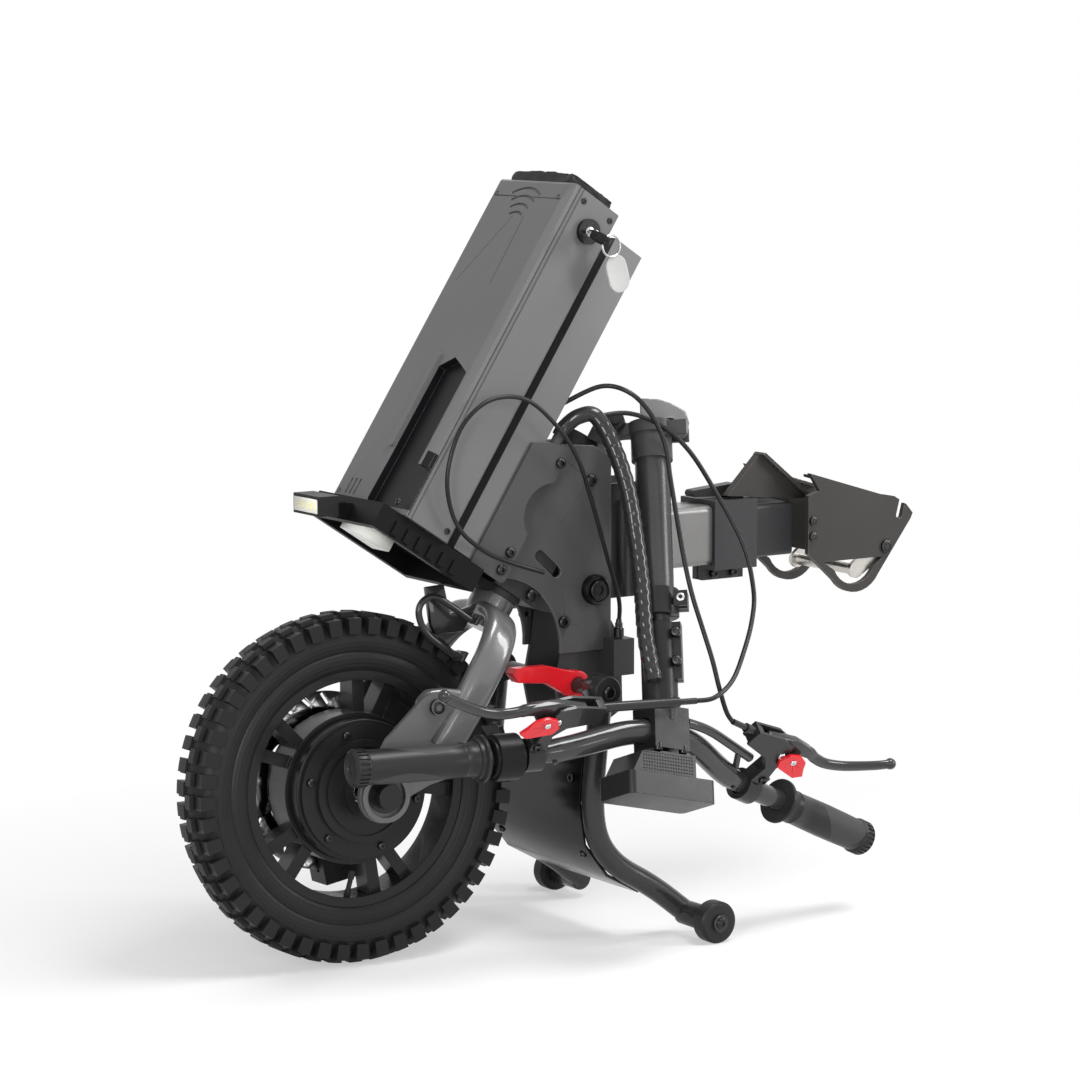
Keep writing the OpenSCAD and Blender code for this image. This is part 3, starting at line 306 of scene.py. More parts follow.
def battery_coat(name, colour, engraved):
    """Satin battery housing, with the engraved lines and black recess of its cover where asked."""
    f = Finish(name, colour, 0.40, 0.15)
    x, y, z = f.seen_from(RAKED)
    drawn = f.noise(850.0, 2.0, vector=f.node("ShaderNodeMapping", Vector=f.place, Rotation=(0, RAKE, 0),
                                              Scale=(1, 1, 0.02)))
    coat = f.mix(f.noise(7.0, 3.0), *shades(colour, 0.10))
    groove = 0.0
    if engraved:
        # Tapered field that the vents lie in: two slanting lines that meet below
        half_line = 0.0006
        left = (y - 0.018 + (z - 0.262) * 0.04).by("ABSOLUTE")
        right = (y + 0.026 - (z - 0.312) * 0.52).by("ABSOLUTE")
        lines = (left.below(half_line) + right.below(half_line)) * z.within(0.272, 0.352)
        groove = lines.by("MINIMUM", 1.0) * x.above(0.1885)
        coat = f.mix(groove * 0.8, coat, (0.02, 0.02, 0.02))
        # Black floor and walls of the long recess, open to the side at its foot
        sunk = x.within(0.1798, 0.1892)
        deep = sunk * z.within(0.020, 0.203) * y.within(0.0006, 0.0588)
        foot = sunk * z.within(0.020, 0.083) * y.within(0.050, 0.0700)
        coat = f.mix(deep.by("MAXIMUM", foot), coat, (0.006, 0.006, 0.007))
        # Dark joint between cover and case
        seam = x.within(0.1786, 0.1795)
        coat = f.mix(seam * 0.9, coat, (0.004, 0.004, 0.004))
    f.set("Base Color", coat)
    f.set("Roughness", drawn * 0.12 + f.noise(5.0, 3.0) * 0.08 + 0.30)
    f.bump(drawn * 0.3 - groove, 0.12, 0.0005)
    return f.material


def grip_rubber(side):
    """Grip rubber with two long leaf-shaped panels and fine knurl between them."""
    middle, half_leaf = 0.150, 0.048
    f = Finish("grip rubber", (0.026, 0.026, 0.027), 0.5)
    x, y, z = f.seen_from(grip_frame(side))
    reach = (x.by("ABSOLUTE") - middle) / half_leaf
    round_bar = (y.by("ARCTAN2", z) + reach * 0.5 + 7.0).by("PINGPONG", 1.5708)
    leaf = (0.95 - reach * reach * 0.85 - round_bar).above(0.0)
    knurl = f.node("ShaderNodeTexVoronoi", Vector=f.place, Scale=700.0)
    f.set("Base Color", f.mix(leaf, (0.018, 0.018, 0.019), (0.040, 0.040, 0.041)))
    f.set("Roughness", leaf * 0.14 + 0.36)
    f.bump(knurl * leaf * 0.5 + leaf * 0.8, 0.4, 0.0007)
    return f.material


def perforated():
    """Display housing with a field of small round holes over its raised back."""
    pitch = 0.0034
    f = Finish("display plastic", (0.018, 0.018, 0.019), 0.3)
    x, y, z = f.seen_from(BAR)
    across = x.wrapped(pitch) - 0.5
    along = z.wrapped(pitch) - 0.5
    field = z.within(0.0285, 0.0488) * x.within(-0.020, 0.044)
    hole = (across * across + along * along).below(0.085) * field
    f.set("Base Color", f.mix(hole, (0.020, 0.020, 0.021), (0.001, 0.001, 0.001)))
    f.set("Roughness", hole * 0.3 + f.noise(50.0) * 0.1 + 0.24)
    f.bump(f.noise(1000.0, 2.0) * 0.2 - hole, 0.4, 0.0006)
    return f.material


def lamp_glass():
    """Lamp lens with a row of square emitters behind it."""
    pitch = 0.0072
    f = Finish("lamp lens", (0.80, 0.80, 0.66), 0.16, Coat_Weight=0.6)
    x, y, z = f.seen_from(UPRIGHT)
    cell = y.wrapped(pitch).within(0.22, 0.78) * z.within(0.4655, 0.4725)
    f.set("Base Color", f.mix(cell, (0.78, 0.78, 0.70), (0.90, 0.86, 0.42)))
    f.set("Roughness", cell * 0.2 + 0.10)
    f.bump(cell + f.noise(500.0, 1.0) * 0.1, 0.2, 0.0006)
    return f.material


def slotted_steel():
    """Brake disc steel with the fine rings that pads leave."""
    f = Finish("disc steel", (0.30, 0.30, 0.305), 0.3, 1.0)
    x, y, z = f.seen_from(WHEEL)
    radius = (x * x + y * y).by("SQRT")
    rings = f.noise(1.0, 3.0, vector=f.node("ShaderNodeCombineXYZ", X=radius * 1800.0))
    swept = radius.above(0.076)
    f.set("Base Color", f.mix(swept, (0.10, 0.10, 0.102), (0.36, 0.36, 0.365)))
    f.set("Roughness", rings * 0.2 * swept + 0.24)
    f.bump(rings * swept, 0.12, 0.0003)
    return f.material


FINISHES = {
    "side_plate_left": powder_coat("side plate coat", (0.062, 0.062, 0.064), 0.44),
    "bracket_plates": powder_coat("bracket coat", (0.055, 0.055, 0.057), 0.42),
    "head_block": powder_coat("head block coat", (0.030, 0.030, 0.031), 0.4),
    "battery_rail": anodised("rail anodising", (0.15, 0.15, 0.153), 0.38, (1, 1, 0.02)),
    "battery_tray": moulded("tray plastic", (0.004, 0.004, 0.0045), 0.46),
    "plate_screws": steel("black screws", (0.045, 0.045, 0.047), 0.32),
    "controller": anodised("controller anodising", (0.04, 0.04, 0.042), 0.45),
    "arm_tube": powder_coat("arm coat", (0.21, 0.208, 0.205), 0.30, 0.7, Metallic=0.5),
    "arm_collar": powder_coat("collar coat", (0.036, 0.036, 0.038), 0.38),
    "arm_bracket": powder_coat("arm bracket coat", (0.024, 0.024, 0.025), 0.42),
    "under_strip": gloss("pale strip", (0.7, 0.7, 0.66), 0.3),
    "stand_bracket": powder_coat("stand bracket coat", (0.036, 0.036, 0.037), 0.4),
    "cords": rubber("cable sheath", (0.008, 0.008, 0.009), 0.30),
    "wrap": gloss("wrapped sleeve", (0.016, 0.016, 0.017), 0.26),
    "lamp_body": moulded("lamp plastic", (0.014, 0.014, 0.015), 0.4),
    "lamp_lens": lamp_glass(),
    "battery_case": battery_coat("battery case coat", (0.125, 0.125, 0.127), False),
    "battery_cover": battery_coat("battery cover coat", (0.130, 0.130, 0.131), True),
    "battery_handle": rubber("handle rubber", (0.006, 0.006, 0.007), 0.5),
    "lock_barrel": steel("lock barrel", (0.05, 0.05, 0.052), 0.25),
    "key": steel("key nickel", (0.62, 0.62, 0.63), 0.22),
    "fork": powder_coat("fork coat", (0.125, 0.125, 0.128), 0.30, 0.6, Metallic=0.3, Coat_Weight=0.5),
    "dropouts": powder_coat("dropout coat", (0.115, 0.115, 0.118), 0.34, Metallic=0.4),
    "stator_axle": steel("axle steel", (0.3, 0.3, 0.31), 0.34),
    "axle_caps": gloss("axle cap", (0.006, 0.006, 0.007), 0.2),
    "brake_caliper": powder_coat("caliper coat", (0.018, 0.018, 0.019), 0.4),
    "crown_bracket": powder_coat("crown bracket coat", (0.020, 0.020, 0.021), 0.3, Coat_Weight=0.4),
    "hinge_base": powder_coat("hinge base coat", (0.018, 0.018, 0.019), 0.40),
    "tyre": tyre_rubber(),
    "rim": powder_coat("rim coat", (0.009, 0.009, 0.0095), 0.30, Coat_Weight=0.1),
    "hub_shell": powder_coat("hub coat", (0.010, 0.010, 0.0105), 0.34),
    "hub_cover": powder_coat("hub cover coat", (0.011, 0.011, 0.0115), 0.30),
    "brake_disc": slotted_steel(),
    "hub_bearings": steel("bearing steel", (0.55, 0.55, 0.56), 0.2),
    "hinge_head": powder_coat("hinge head coat", (0.045, 0.045, 0.047), 0.36),
    "column_tube": powder_coat("column coat", (0.052, 0.052, 0.054), 0.28, 0.8, Metallic=0.35),
    "column_collar": powder_coat("column collar coat", (0.014, 0.014, 0.015), 0.36),
    "hinge_lever": anodised("hinge lever", (0.17, 0.17, 0.173), 0.42),
    "mast_tube": powder_coat("mast coat", (0.030, 0.030, 0.032), 0.26, Metallic=0.3),
    "stem_clamp": powder_coat("stem coat", (0.013, 0.013, 0.014), 0.34),
    "handlebar": powder_coat("handlebar coat", (0.030, 0.030, 0.031), 0.25, 0.8, Coat_Weight=0.6),
    "grips": grip_rubber(1),
    "lever_brackets": powder_coat("lever bracket coat", (0.016, 0.016, 0.017), 0.3, Coat_Weight=0.3),
    "display": perforated(),
    "throttle": moulded("throttle plastic", (0.010, 0.010, 0.011), 0.34),
    "levers": powder_coat("lever coat", (0.020, 0.020, 0.021), 0.24, 0.8, Coat_Weight=0.5),
    "latches": gloss("latch red", (0.62, 0.012, 0.020), 0.3),
    "dock_tube": powder_coat("dock tube coat", (0.040, 0.040, 0.042), 0.34),
    "dock_head": powder_coat("dock head coat", (0.036, 0.033, 0.031), 0.44),
    "dock_jaw": steel("jaw zinc", (0.55, 0.53, 0.50), 0.3),
    "arm_lever": powder_coat("arm lever coat", (0.016, 0.016, 0.017), 0.34),
    "stand_frame": powder_coat("stand coat", (0.024, 0.024, 0.025), 0.28, Coat_Weight=0.3),
    "stand_guard": powder_coat("guard coat", (0.003, 0.003, 0.0034), 0.20, 0.7, Specular_IOR_Level=0.3),
    "stand_wheels": rubber("stand wheel", (0.010, 0.010, 0.011), 0.42),
    "release_lever": gloss("release red", (0.64, 0.012, 0.020), 0.3),
}
NEAR_GRIP = grip_rubber(-1)
# Paler finishes for rounded edges: the first is a painted highlight, the second partly rubbed paint and
# partly a painted highlight
PAINTED_EDGE_HIGHLIGHT = steel("painted edge highlight", (0.46, 0.44, 0.41), 0.34)
WORN_EDGE_AND_HIGHLIGHT = powder_coat("rubbed edge and painted highlight", (0.16, 0.16, 0.162), 0.34, Metallic=0.4)
BOW_PLASTIC = moulded("key bow plastic", (0.010, 0.010, 0.011), 0.36)
FOB_ENAMEL = gloss("fob enamel", (0.38, 0.38, 0.37), 0.30)
PIN_STEEL = steel("bright pin", (0.62, 0.62, 0.63), 0.22)
SLOT_OF = {s["node"]: s["material_slot"] for s in frame["record"]["subparts"]}

# Width of the rounded edges on the solids, in millimetres
EDGE = {
    "battery_case": 0.9, "battery_cover": 0.6, "battery_rail": 0.4, "battery_tray": 0.5,
    "side_plate_left": 0.4, "side_plate_right": 0.4, "bracket_plates": 0.3, "head_block": 0.6,
    "controller": 0.4, "arm_tube": 0.3, "arm_collar": 2.4, "arm_bracket": 0.4, "stand_bracket": 0.4,
    "lamp_body": 0.5, "dropouts": 0.8, "brake_caliper": 1.2, "hinge_base": 1.2, "rim": 0.8,
    "hub_shell": 1.6, "hub_cover": 0.9, "hinge_head": 0.8, "column_collar": 0.5, "stem_clamp": 1.0,
    "lever_brackets": 0.6, "display": 1.2, "throttle": 0.8, "latch_left": 0.8, "latch_right": 0.8,
    "dock_tube": 0.3, "dock_head": 0.8, "dock_jaw": 0.5, "arm_lever": 1.2, "stand_guard": 0.3,
    "stand_wheel_left": 1.4, "stand_wheel_right": 1.4, "axle_caps": 0.9, "tyre": 0.7,
    "column_tube": 0.3, "stator_axle": 0.3, "lock_barrel": 0.4,
}
# Cast and forged pieces, whose corners flow together: voxel size and rounds of smoothing
CAST = {"hinge_lever": (0.9, 12), "release_lever": (0.8, 5)}
# Plates whose rounded edges take a paler finish: on the dock head a painted highlight for the light its edges
# catch, on the others partly rubbed paint and partly a painted highlight
EDGE_WEAR_AND_HIGHLIGHT = {"dock_head": PAINTED_EDGE_HIGHLIGHT, "battery_cover": WORN_EDGE_AND_HIGHLIGHT, "side_plate_left": WORN_EDGE_AND_HIGHLIGHT,
             "side_plate_right": WORN_EDGE_AND_HIGHLIGHT, "dropouts": WORN_EDGE_AND_HIGHLIGHT}


def dress(node):
    """Gives a solid its finish, and rounds its edges where EDGE says so."""
    o = nodes[node]
    o.data.materials.clear()
    o.data.materials.append(FINISHES[SLOT_OF[node]])
    o.modifiers.new("weld", "WELD").merge_threshold = 0.00001
    if node in CAST:
        size, rounds = CAST[node]
        skin = o.modifiers.new("skin", "REMESH")
        skin.mode = "VOXEL"
        skin.voxel_size = size * MM
        skin.use_smooth_shade = True
        flow = o.modifiers.new("flow", "SMOOTH")
        flow.factor = 0.5
        flow.iterations = rounds
    if node in EDGE:
        bevel = o.modifiers.new("edges", "BEVEL")
        bevel.width = EDGE[node] * MM
        bevel.segments = 2
        bevel.limit_method = "ANGLE"
        bevel.angle_limit = math.radians(38)
        bevel.use_clamp_overlap = True
        # The rounded edges take the paler finish, a painted edge highlight that on some plates also stands
        # for wear
        if node in EDGE_WEAR_AND_HIGHLIGHT:
            o.data.materials.append(EDGE_WEAR_AND_HIGHLIGHT[node])
            bevel.material = 1
        # Flat faces stay flat right up to their rounded edges
        flat = o.modifiers.new("flat", "WEIGHTED_NORMAL")
        flat.weight = 100
    bpy.context.view_layer.objects.active = o
    bpy.ops.object.select_all(action="DESELECT")
    o.select_set(True)
    bpy.ops.object.shade_smooth_by_angle(angle=math.radians(32))


for name in sorted(nodes):
    dress(name)


# Small pieces are drawn in millimetres in the frame of what carries them, and put in place when finished
def take(o):
    bpy.ops.object.select_all(action="DESELECT")
    o.select_set(True)
    bpy.context.view_layer.objects.active = o
    return o


def pick(o, test):
    """Opens a shape for editing, with the faces selected whose middle and normal pass the test."""
    take(o)
    bpy.ops.object.mode_set(mode="EDIT")
    bpy.ops.mesh.select_mode(type="FACE")
    bpy.ops.mesh.select_all(action="DESELECT")
    shape = bmesh.from_edit_mesh(o.data)
    for face in shape.faces:
        face.select_set(bool(test(face.calc_center_median(), face.normal)))
    bmesh.update_edit_mesh(o.data)


def leave():
    bpy.ops.object.mode_set(mode="OBJECT")


def chain(points):
    """Opens a new shape: one vertex drawn out from point to point."""
    bpy.ops.object.select_all(action="DESELECT")
    bpy.ops.mesh.primitive_plane_add(size=1)
    o = bpy.context.object
    bpy.ops.object.mode_set(mode="EDIT")
    bpy.ops.mesh.select_mode(type="VERT")
    bpy.ops.mesh.select_all(action="SELECT")
    bpy.ops.mesh.merge(type="CENTER")
    bpy.ops.transform.translate(value=points[0])
    for a, b in zip(points, points[1:]):
        bpy.ops.mesh.extrude_region_move(TRANSFORM_OT_translate={"value": Vector(b) - Vector(a)})
    bpy.ops.mesh.select_all(action="SELECT")
    return o


def spun(profile, steps=40):
    """Shape turned about Z from points of radius and height."""
    o = chain([(r, 0, z) for r, z in profile])
    bpy.ops.mesh.spin(steps=steps, angle=math.radians(360), center=(0, 0, 0), axis=(0, 0, 1))
    bpy.ops.mesh.select_all(action="SELECT")
    bpy.ops.mesh.remove_doubles(threshold=0.004)
    bpy.ops.mesh.normals_make_consistent(inside=False)
    leave()
    return o


def cut_plate(points, thick):
    """Flat outline in X-Z, thickened along Y from nought."""
    o = chain([(x, 0, z) for x, z in points])
    bpy.ops.mesh.edge_face_add()
    bpy.ops.mesh.extrude_region_move(TRANSFORM_OT_translate={"value": (0, thick, 0)})
    bpy.ops.mesh.select_all(action="SELECT")
    bpy.ops.mesh.normals_make_consistent(inside=False)
    leave()
    return o


def softened(o, width, segments=2, angle=35):
    take(o)
    bevel = o.modifiers.new("edges", "BEVEL")
    bevel.width = width
    bevel.segments = segments
    bevel.limit_method = "ANGLE"
    bevel.angle_limit = math.radians(angle)
    bpy.ops.object.modifier_apply(modifier="edges")
    return o


def hollowed(o, tool):
    take(o)
    cut = o.modifiers.new("cut", "BOOLEAN")
    cut.operation = "DIFFERENCE"
    cut.object = tool
    cut.solver = "EXACT"
    bpy.ops.object.modifier_apply(modifier="cut")
    bpy.data.objects.remove(tool)
    return o


def put(o, matrix):
    """Moves a shape by a matrix into its mesh."""
    take(o)
    o.matrix_world = matrix
    bpy.ops.object.transform_apply(location=True, rotation=True, scale=True)
    if matrix.determinant() < 0:
        bpy.ops.object.mode_set(mode="EDIT")
        bpy.ops.mesh.select_all(action="SELECT")
        bpy.ops.mesh.normals_make_consistent(inside=False)
        leave()
    return o


def copy_at(o, matrix):
    twin = o.copy()
    twin.data = o.data.copy()
    bpy.context.scene.collection.objects.link(twin)
    return put(twin, matrix)


def copies(o, places):
    """Copies of a shape at several places. The shape itself goes."""
    made = [copy_at(o, place) for place in places]
    bpy.data.objects.remove(o)
    return made


def joined(parts):
    take(parts[0])
    for part in parts:
        part.select_set(True)
    if len(parts) > 1:
        bpy.ops.object.join()
    return bpy.context.object


def finish_piece(o, name, where, body, finish, smooth=35, instead_of=None):
    """Puts a shape drawn in millimetres in its frame, and gives it a name, finish and body."""
    put(o, where @ Matrix.Scale(MM, 4))
    o.name = name
    o.data.name = name
    o.data.materials.clear()
    o.data.materials.append(finish)
    take(o)
    bpy.ops.object.shade_smooth_by_angle(angle=math.radians(smooth))
    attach(o, body)
    if instead_of:
        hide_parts(instead_of)
    return o


def shift(x, y, z):
    return Matrix.Translation((x, y, z))


def spin(axis, degrees):
    return Matrix.Rotation(math.radians(degrees), 4, axis)


# Turns that point a shape's Z along another axis
TO_PLUS_Y = spin("X", -90)
TO_MINUS_Y = spin("X", 90)
TO_PLUS_X = spin("Y", 90)


def on_side(y, *spots):
    """Places at the given X and Z on a face that looks along Y."""
    return [shift(x, y, z) @ TO_PLUS_Y for x, z in spots]


def both(places):
    """Places and their mirror images across the middle plane."""
    return places + [Matrix.Scale(-1, 4, (0, 1, 0)) @ p for p in places]


# Screws
def socket_screw(radius, height):
    """Button head with a hexagon socket, its seat at nought and facing up Z."""
    bpy.ops.object.select_all(action="DESELECT")
    bpy.ops.mesh.primitive_cylinder_add(vertices=24, radius=radius, depth=height, location=(0, 0, height / 2))
    o = bpy.context.object
    bpy.ops.object.transform_apply(location=True)
    pick(o, lambda c, n: n.z > 0.9)
    bpy.ops.mesh.bevel(offset=min(height * 0.55, radius * 0.4), segments=3, affect="EDGES")
    leave()
    bpy.ops.object.select_all(action="DESELECT")
    socket_r = radius * 0.46
    bpy.ops.mesh.primitive_cylinder_add(vertices=6, radius=socket_r, depth=height, location=(0, 0, height))
    return hollowed(o, bpy.context.object)


def screws(name, radius, height, places, where, body, finish=None):
    """Same screw at several places of one frame, as one piece."""
    heads = copies(socket_screw(radius, height), places)
    return finish_piece(joined(heads), name, where, body, finish or FINISHES["plate_screws"])


bracket_places = both(on_side(51.0, (-230, 498), (-168, 411), (-157, 394)))
spacer_depth = 15
spacer_places = [shift(0, -spacer_depth, 0) @ p for p in bracket_places[:3]]
spacer_places += [shift(0, spacer_depth, 0) @ p for p in bracket_places[3:]]
boss = spun([(0, 0), (15.6, 0), (16, 1.5), (16, 6), (14.6, 8.6), (12.4, 9), (11.6, 7.6), (10.6, 7.6),
             (10, 9.2), (10, 10.4), (9.2, 11), (5, 11), (4.4, 9.4), (0, 9.4)], 40)
spacer = softened(spun([(2.5, 0), (5, 0), (5, 12), (2.5, 12), (2.5, 0)], 24), 0.5)
parts = copies(socket_screw(6.5, 4.0), both(on_side(36.0, (-278, 476), (-204, 362), (-244, 331))))
parts += copies(socket_screw(5.5, 3.5), bracket_places)
parts += copies(spacer, spacer_places)
parts += copies(boss, both(on_side(36.0, (-282, 362))))
finish_piece(joined(parts), "plate_screw_set", UPRIGHT, "frame", FINISHES["plate_screws"],
             instead_of="plate_screws")

cover_corners = [shift(188.5, y, z) @ TO_PLUS_X for y, z in ((-56, 377), (56, 377), (-56, 24), (56, 24))]
stem_corners = [shift(x, y, 15.6) for x in (-16, 16) for y in (-14, 14)]
hub_circle = [spin("Z", 60 * k + 20) @ shift(60, 0, 39.5) for k in range(6)]
disc_circle = [spin("Z", 60 * k + 30) @ shift(25, 0, -54.9) @ spin("X", 180) for k in range(6)]
guard_places = [shift(-241.2, y, 94.4) @ spin("Y", 128) for y in (-76, 76)]
guard_places += [shift(-226.4, y, 176) @ TO_PLUS_X for y in (-76, 76)]
screws("cover_screws", 3.6, 1.6, cover_corners, RAKED, "battery")
screws("case_screws", 3.4, 1.4, both(on_side(68.8, (130, 386), (168, 386), (130, 24))), RAKED, "battery")
screws("stem_bolts", 4.6, 8.4, stem_corners, BAR, "mast", FINISHES["axle_caps"])
screws("stem_side_bolts", 5.4, 5.0, [shift(-19, -12.0, z) @ TO_MINUS_Y for z in (228, 258)], COLUMN, "mast")
screws("collar_bolt", 5.2, 5.0, both(on_side(15.5, (-26, 193))), COLUMN, "column", PIN_STEEL)
screws("arm_collar_bolts", 5.2, 4.6, both(on_side(9.6, (-482, 362), (-456, 362))), UPRIGHT, "frame")
screws("dock_screws", 4.8, 3.4, both(on_side(60, (-551, 400), (-551, 417))), UPRIGHT, "dock")
screws("jaw_pin_heads", 7.3, 3.6, both(on_side(60, (-652, 382))), UPRIGHT, "dock")
screws("dropout_bolts", 8.3, 5.6, both(on_side(86, (43.6, -133))), STEER, "fork")
screws("hub_screws", 4.2, 4.4, hub_circle, WHEEL, "wheel")
screws("disc_screws", 3.4, 2.2, disc_circle, WHEEL, "wheel")
screws("shaft_screws", 7.0, 4.0, both(on_side(109, (-250, 267))), UPRIGHT, "stand")
screws("stand_axle_nuts", 6.2, 2.1, both(on_side(160.4, (-357, 22))), UPRIGHT, "stand", FINISHES["axle_caps"])
screws("guard_screws", 4.4, 2.4, guard_places, UPRIGHT, "stand")
for side, key in ((1, "left"), (-1, "right")):
    pivot_ends = [shift(16, -8.3, 58) @ TO_MINUS_Y, shift(16, 8.4, 58) @ TO_PLUS_Y]
    latch_end = on_side(13.6, (30, 60))
    screws("lever_clamp_screw_" + key, 4.6, 3.2, both(on_side(8.3, (26, 21))), lever_frame(side), "mast")
    screws("lever_pin_" + key, 4.2, 2.0, pivot_ends, lever_frame(side), "mast", PIN_STEEL)
    screws("latch_pin_" + key, 3.4, 1.6, latch_end, lever_frame(side), "brake_lever_" + key, PIN_STEEL)


# Tyre beads that close the step between rim and tyre, and the valve
def bead(side):
    return spun([(119.5, side * 18), (119.8, side * 23.6), (121.4, side * 25.0), (124.6, side * 25.6),
                 (128.5, side * 26.4), (133, side * 26.6), (138, side * 25.4), (141, side * 22),
                 (137, side * 19), (128, side * 18), (119.5, side * 18)], 96)


finish_piece(joined([bead(1), bead(-1)]), "tyre_beads", WHEEL, "wheel", FINISHES["tyre"], 60)
valve = spun([(0, 0), (3.4, 0), (3.4, 6), (2.6, 8), (2.6, 20), (3.3, 20.4), (3.3, 28), (2.4, 30),
              (0, 30)], 20)
put(valve, spin("Z", 118) @ shift(110, 0, 12) @ spin("Y", -68))
finish_piece(valve, "valve", WHEEL, "wheel", FINISHES["stand_wheels"])


# Grips
def grip(side, name):
    """Grip turned from its inner flange to its ribbed end band."""
    sides = 48
    body = spun([(11.2, 77.2), (23.4, 77), (24, 77.8), (24, 80.2), (23.2, 81), (20.6, 81.4), (20.2, 85.4),
                 (18.2, 86.4), (17.3, 90), (17.3, 99), (17.9, 100), (17.9, 101.4), (17.2, 102.4), (17.6, 120),
                 (18.0, 150), (17.7, 180), (17.2, 203), (17.2, 204.6), (18.6, 205.6), (19, 207), (19, 217.4),
                 (18.4, 218.6), (16.4, 219.2), (15.4, 220.4), (6.4, 220.9), (5.4, 219.6), (0, 219.6)], sides)

    def groove(c, n):
        turn = math.degrees(math.atan2(c.y, c.x)) % 360
        return 207.2 < c.z < 217.2 and math.hypot(c.x, c.y) > 18 and int(turn / (360 / sides)) % 2 == 0

    # Every second face of the end band is drawn in, which leaves the ribs that stop a palm slipping off
    pick(body, groove)
    bpy.ops.mesh.extrude_faces_move(MESH_OT_extrude_faces_indiv={},
                                    TRANSFORM_OT_shrink_fatten={"value": -1.3})
    leave()
    put(body, TO_PLUS_X)
    finish = FINISHES["grips"] if side > 0 else NEAR_GRIP
    finish_piece(body, name, grip_frame(side), "mast", finish, 40, instead_of="grips")


grip(1, "grip_far")
grip(-1, "grip_near")

# Battery handle: a soft, creased pad with a roll at each end
bpy.ops.object.select_all(action="DESELECT")
bpy.ops.mesh.primitive_cube_add(size=1, location=(156, 0, 402.6))
pad = bpy.context.object
pad.scale = (56, 112, 13.2)
bpy.ops.object.transform_apply(location=True, scale=True)
pick(pad, lambda c, n: True)
bpy.ops.mesh.subdivide(number_cuts=9)
leave()
pick(pad, lambda c, n: n.z > 0.9 and abs(c.y) < 46)
bpy.ops.mesh.inset(thickness=4, depth=-1.6)
leave()
pick(pad, lambda c, n: n.z > 0.9 and abs(c.y) < 40 and int((c.y + 60) / 11.2) % 2 == 0)
bpy.ops.mesh.inset(thickness=1.6, depth=1.5)
leave()
pick(pad, lambda c, n: n.z > 0.9 and abs(c.y) > 50)
bpy.ops.transform.translate(value=(0, 0, -4.6))
leave()
take(pad)
smooth = pad.modifiers.new("smooth", "SUBSURF")
smooth.levels = smooth.render_levels = 1
bpy.ops.object.modifier_apply(modifier="smooth")
folds = bpy.data.textures.new("folds", "CLOUDS")
folds.noise_scale = 13
lumps = pad.modifiers.new("lumps", "DISPLACE")
lumps.texture = folds
lumps.strength = 3.4
bpy.ops.object.modifier_apply(modifier="lumps")
roll = spun([(0, -28.4), (5.6, -28.4), (7.2, -27), (7.6, -20), (7.2, -8), (7.7, 3), (7.2, 16), (7.5, 24),
             (7, 27), (5.6, 28.4), (0, 28.4)], 28)
rolls = copies(roll, [shift(156, y, 401.4) @ TO_PLUS_X for y in (-48.2, 48.2)])
finish_piece(joined([pad] + rolls), "handle_pad", RAKED, "battery", FINISHES["battery_handle"],
             50, instead_of="battery_handle")

# Key: blade and barrel, moulded bow, split ring and a plain oval fob
barrel = softened(spun([(0, -14), (5, -14), (5, 5.3), (0, 5.3)], 28), 0.4)
put(barrel, TO_PLUS_Y)
blade = softened(cut_plate([(-3.5, -1.2), (3.5, -1.2), (3.5, 1.2), (-3.5, 1.2)], 16), 0.3)
put(blade, shift(0, 4, 0))
finish_piece(joined([barrel, blade]), "key_blade", LOCK, "key", FINISHES["key"], instead_of="key")
bow_r = 11
bow_outline = [(bow_r * math.cos(a), bow_r * math.sin(a) * (1.15 if math.sin(a) > 0 else 0.95))
               for a in [math.tau * k / 28 for k in range(28)]]
bow = cut_plate(bow_outline, 6.4)
put(bow, shift(0, 28, -3.2) @ spin("X", 90) @ Matrix.Scale(-1, 4, (0, 0, 1)) @ shift(0, -6.4, 0))
pick(bow, lambda c, n: abs(n.z) > 0.9)
bpy.ops.mesh.inset(thickness=2.4, depth=-0.9)
leave()
softened(bow, 1.1, 3)
finish_piece(bow, "key_bow", LOCK, "key", BOW_PLASTIC, instead_of="key")
wire = [(11 + 0.85 * math.cos(a), 0.85 * math.sin(a)) for a in [math.tau * k / 10 for k in range(11)]]
coil = spun(wire, 44)
second = copy_at(coil, shift(0.6, 0, 1.5) @ spin("X", 3))
split_ring = put(joined([coil, second]), shift(-19.5, 22, -4) @ TO_PLUS_Y)
finish_piece(split_ring, "key_ring", LOCK, "key", FINISHES["key"], instead_of="key")


def fob_end(x, z, start):
    """Half circle that closes one end of the fob."""
    end_r = 12.6
    turns = [math.radians(start + 15 * k) for k in range(13)]
    return [(x + end_r * math.cos(a), z + end_r * math.sin(a)) for a in turns]


fob = cut_plate(fob_end(-36, -18.6, -49) + fob_end(-46.6, -27.8, 131), 3.6)
pick(fob, lambda c, n: abs(n.y) > 0.9)
bpy.ops.mesh.inset(thickness=2.6, depth=-0.5)
leave()
softened(fob, 0.6, 2)
put(fob, shift(0, 20.2, 0))
finish_piece(fob, "key_fob", LOCK, "key", FOB_ENAMEL, instead_of="key")


# Cables
def smooth_route(points, steps):
    """Same smooth curve through given points as the solids follow."""
    p = [Vector(q) for q in points]
    line = []
    for i in range(len(p) - 1):
        a, b, c, d = p[max(i - 1, 0)], p[i], p[i + 1], p[min(i + 2, len(p) - 1)]
        for k in range(steps):
            t = k / steps
            line.append(0.5 * (2 * b + (c - a) * t + (2 * a - 5 * b + 4 * c - d) * t * t
                               + (3 * b - a - 3 * c + d) * t ** 3))
    return line + [p[-1]]


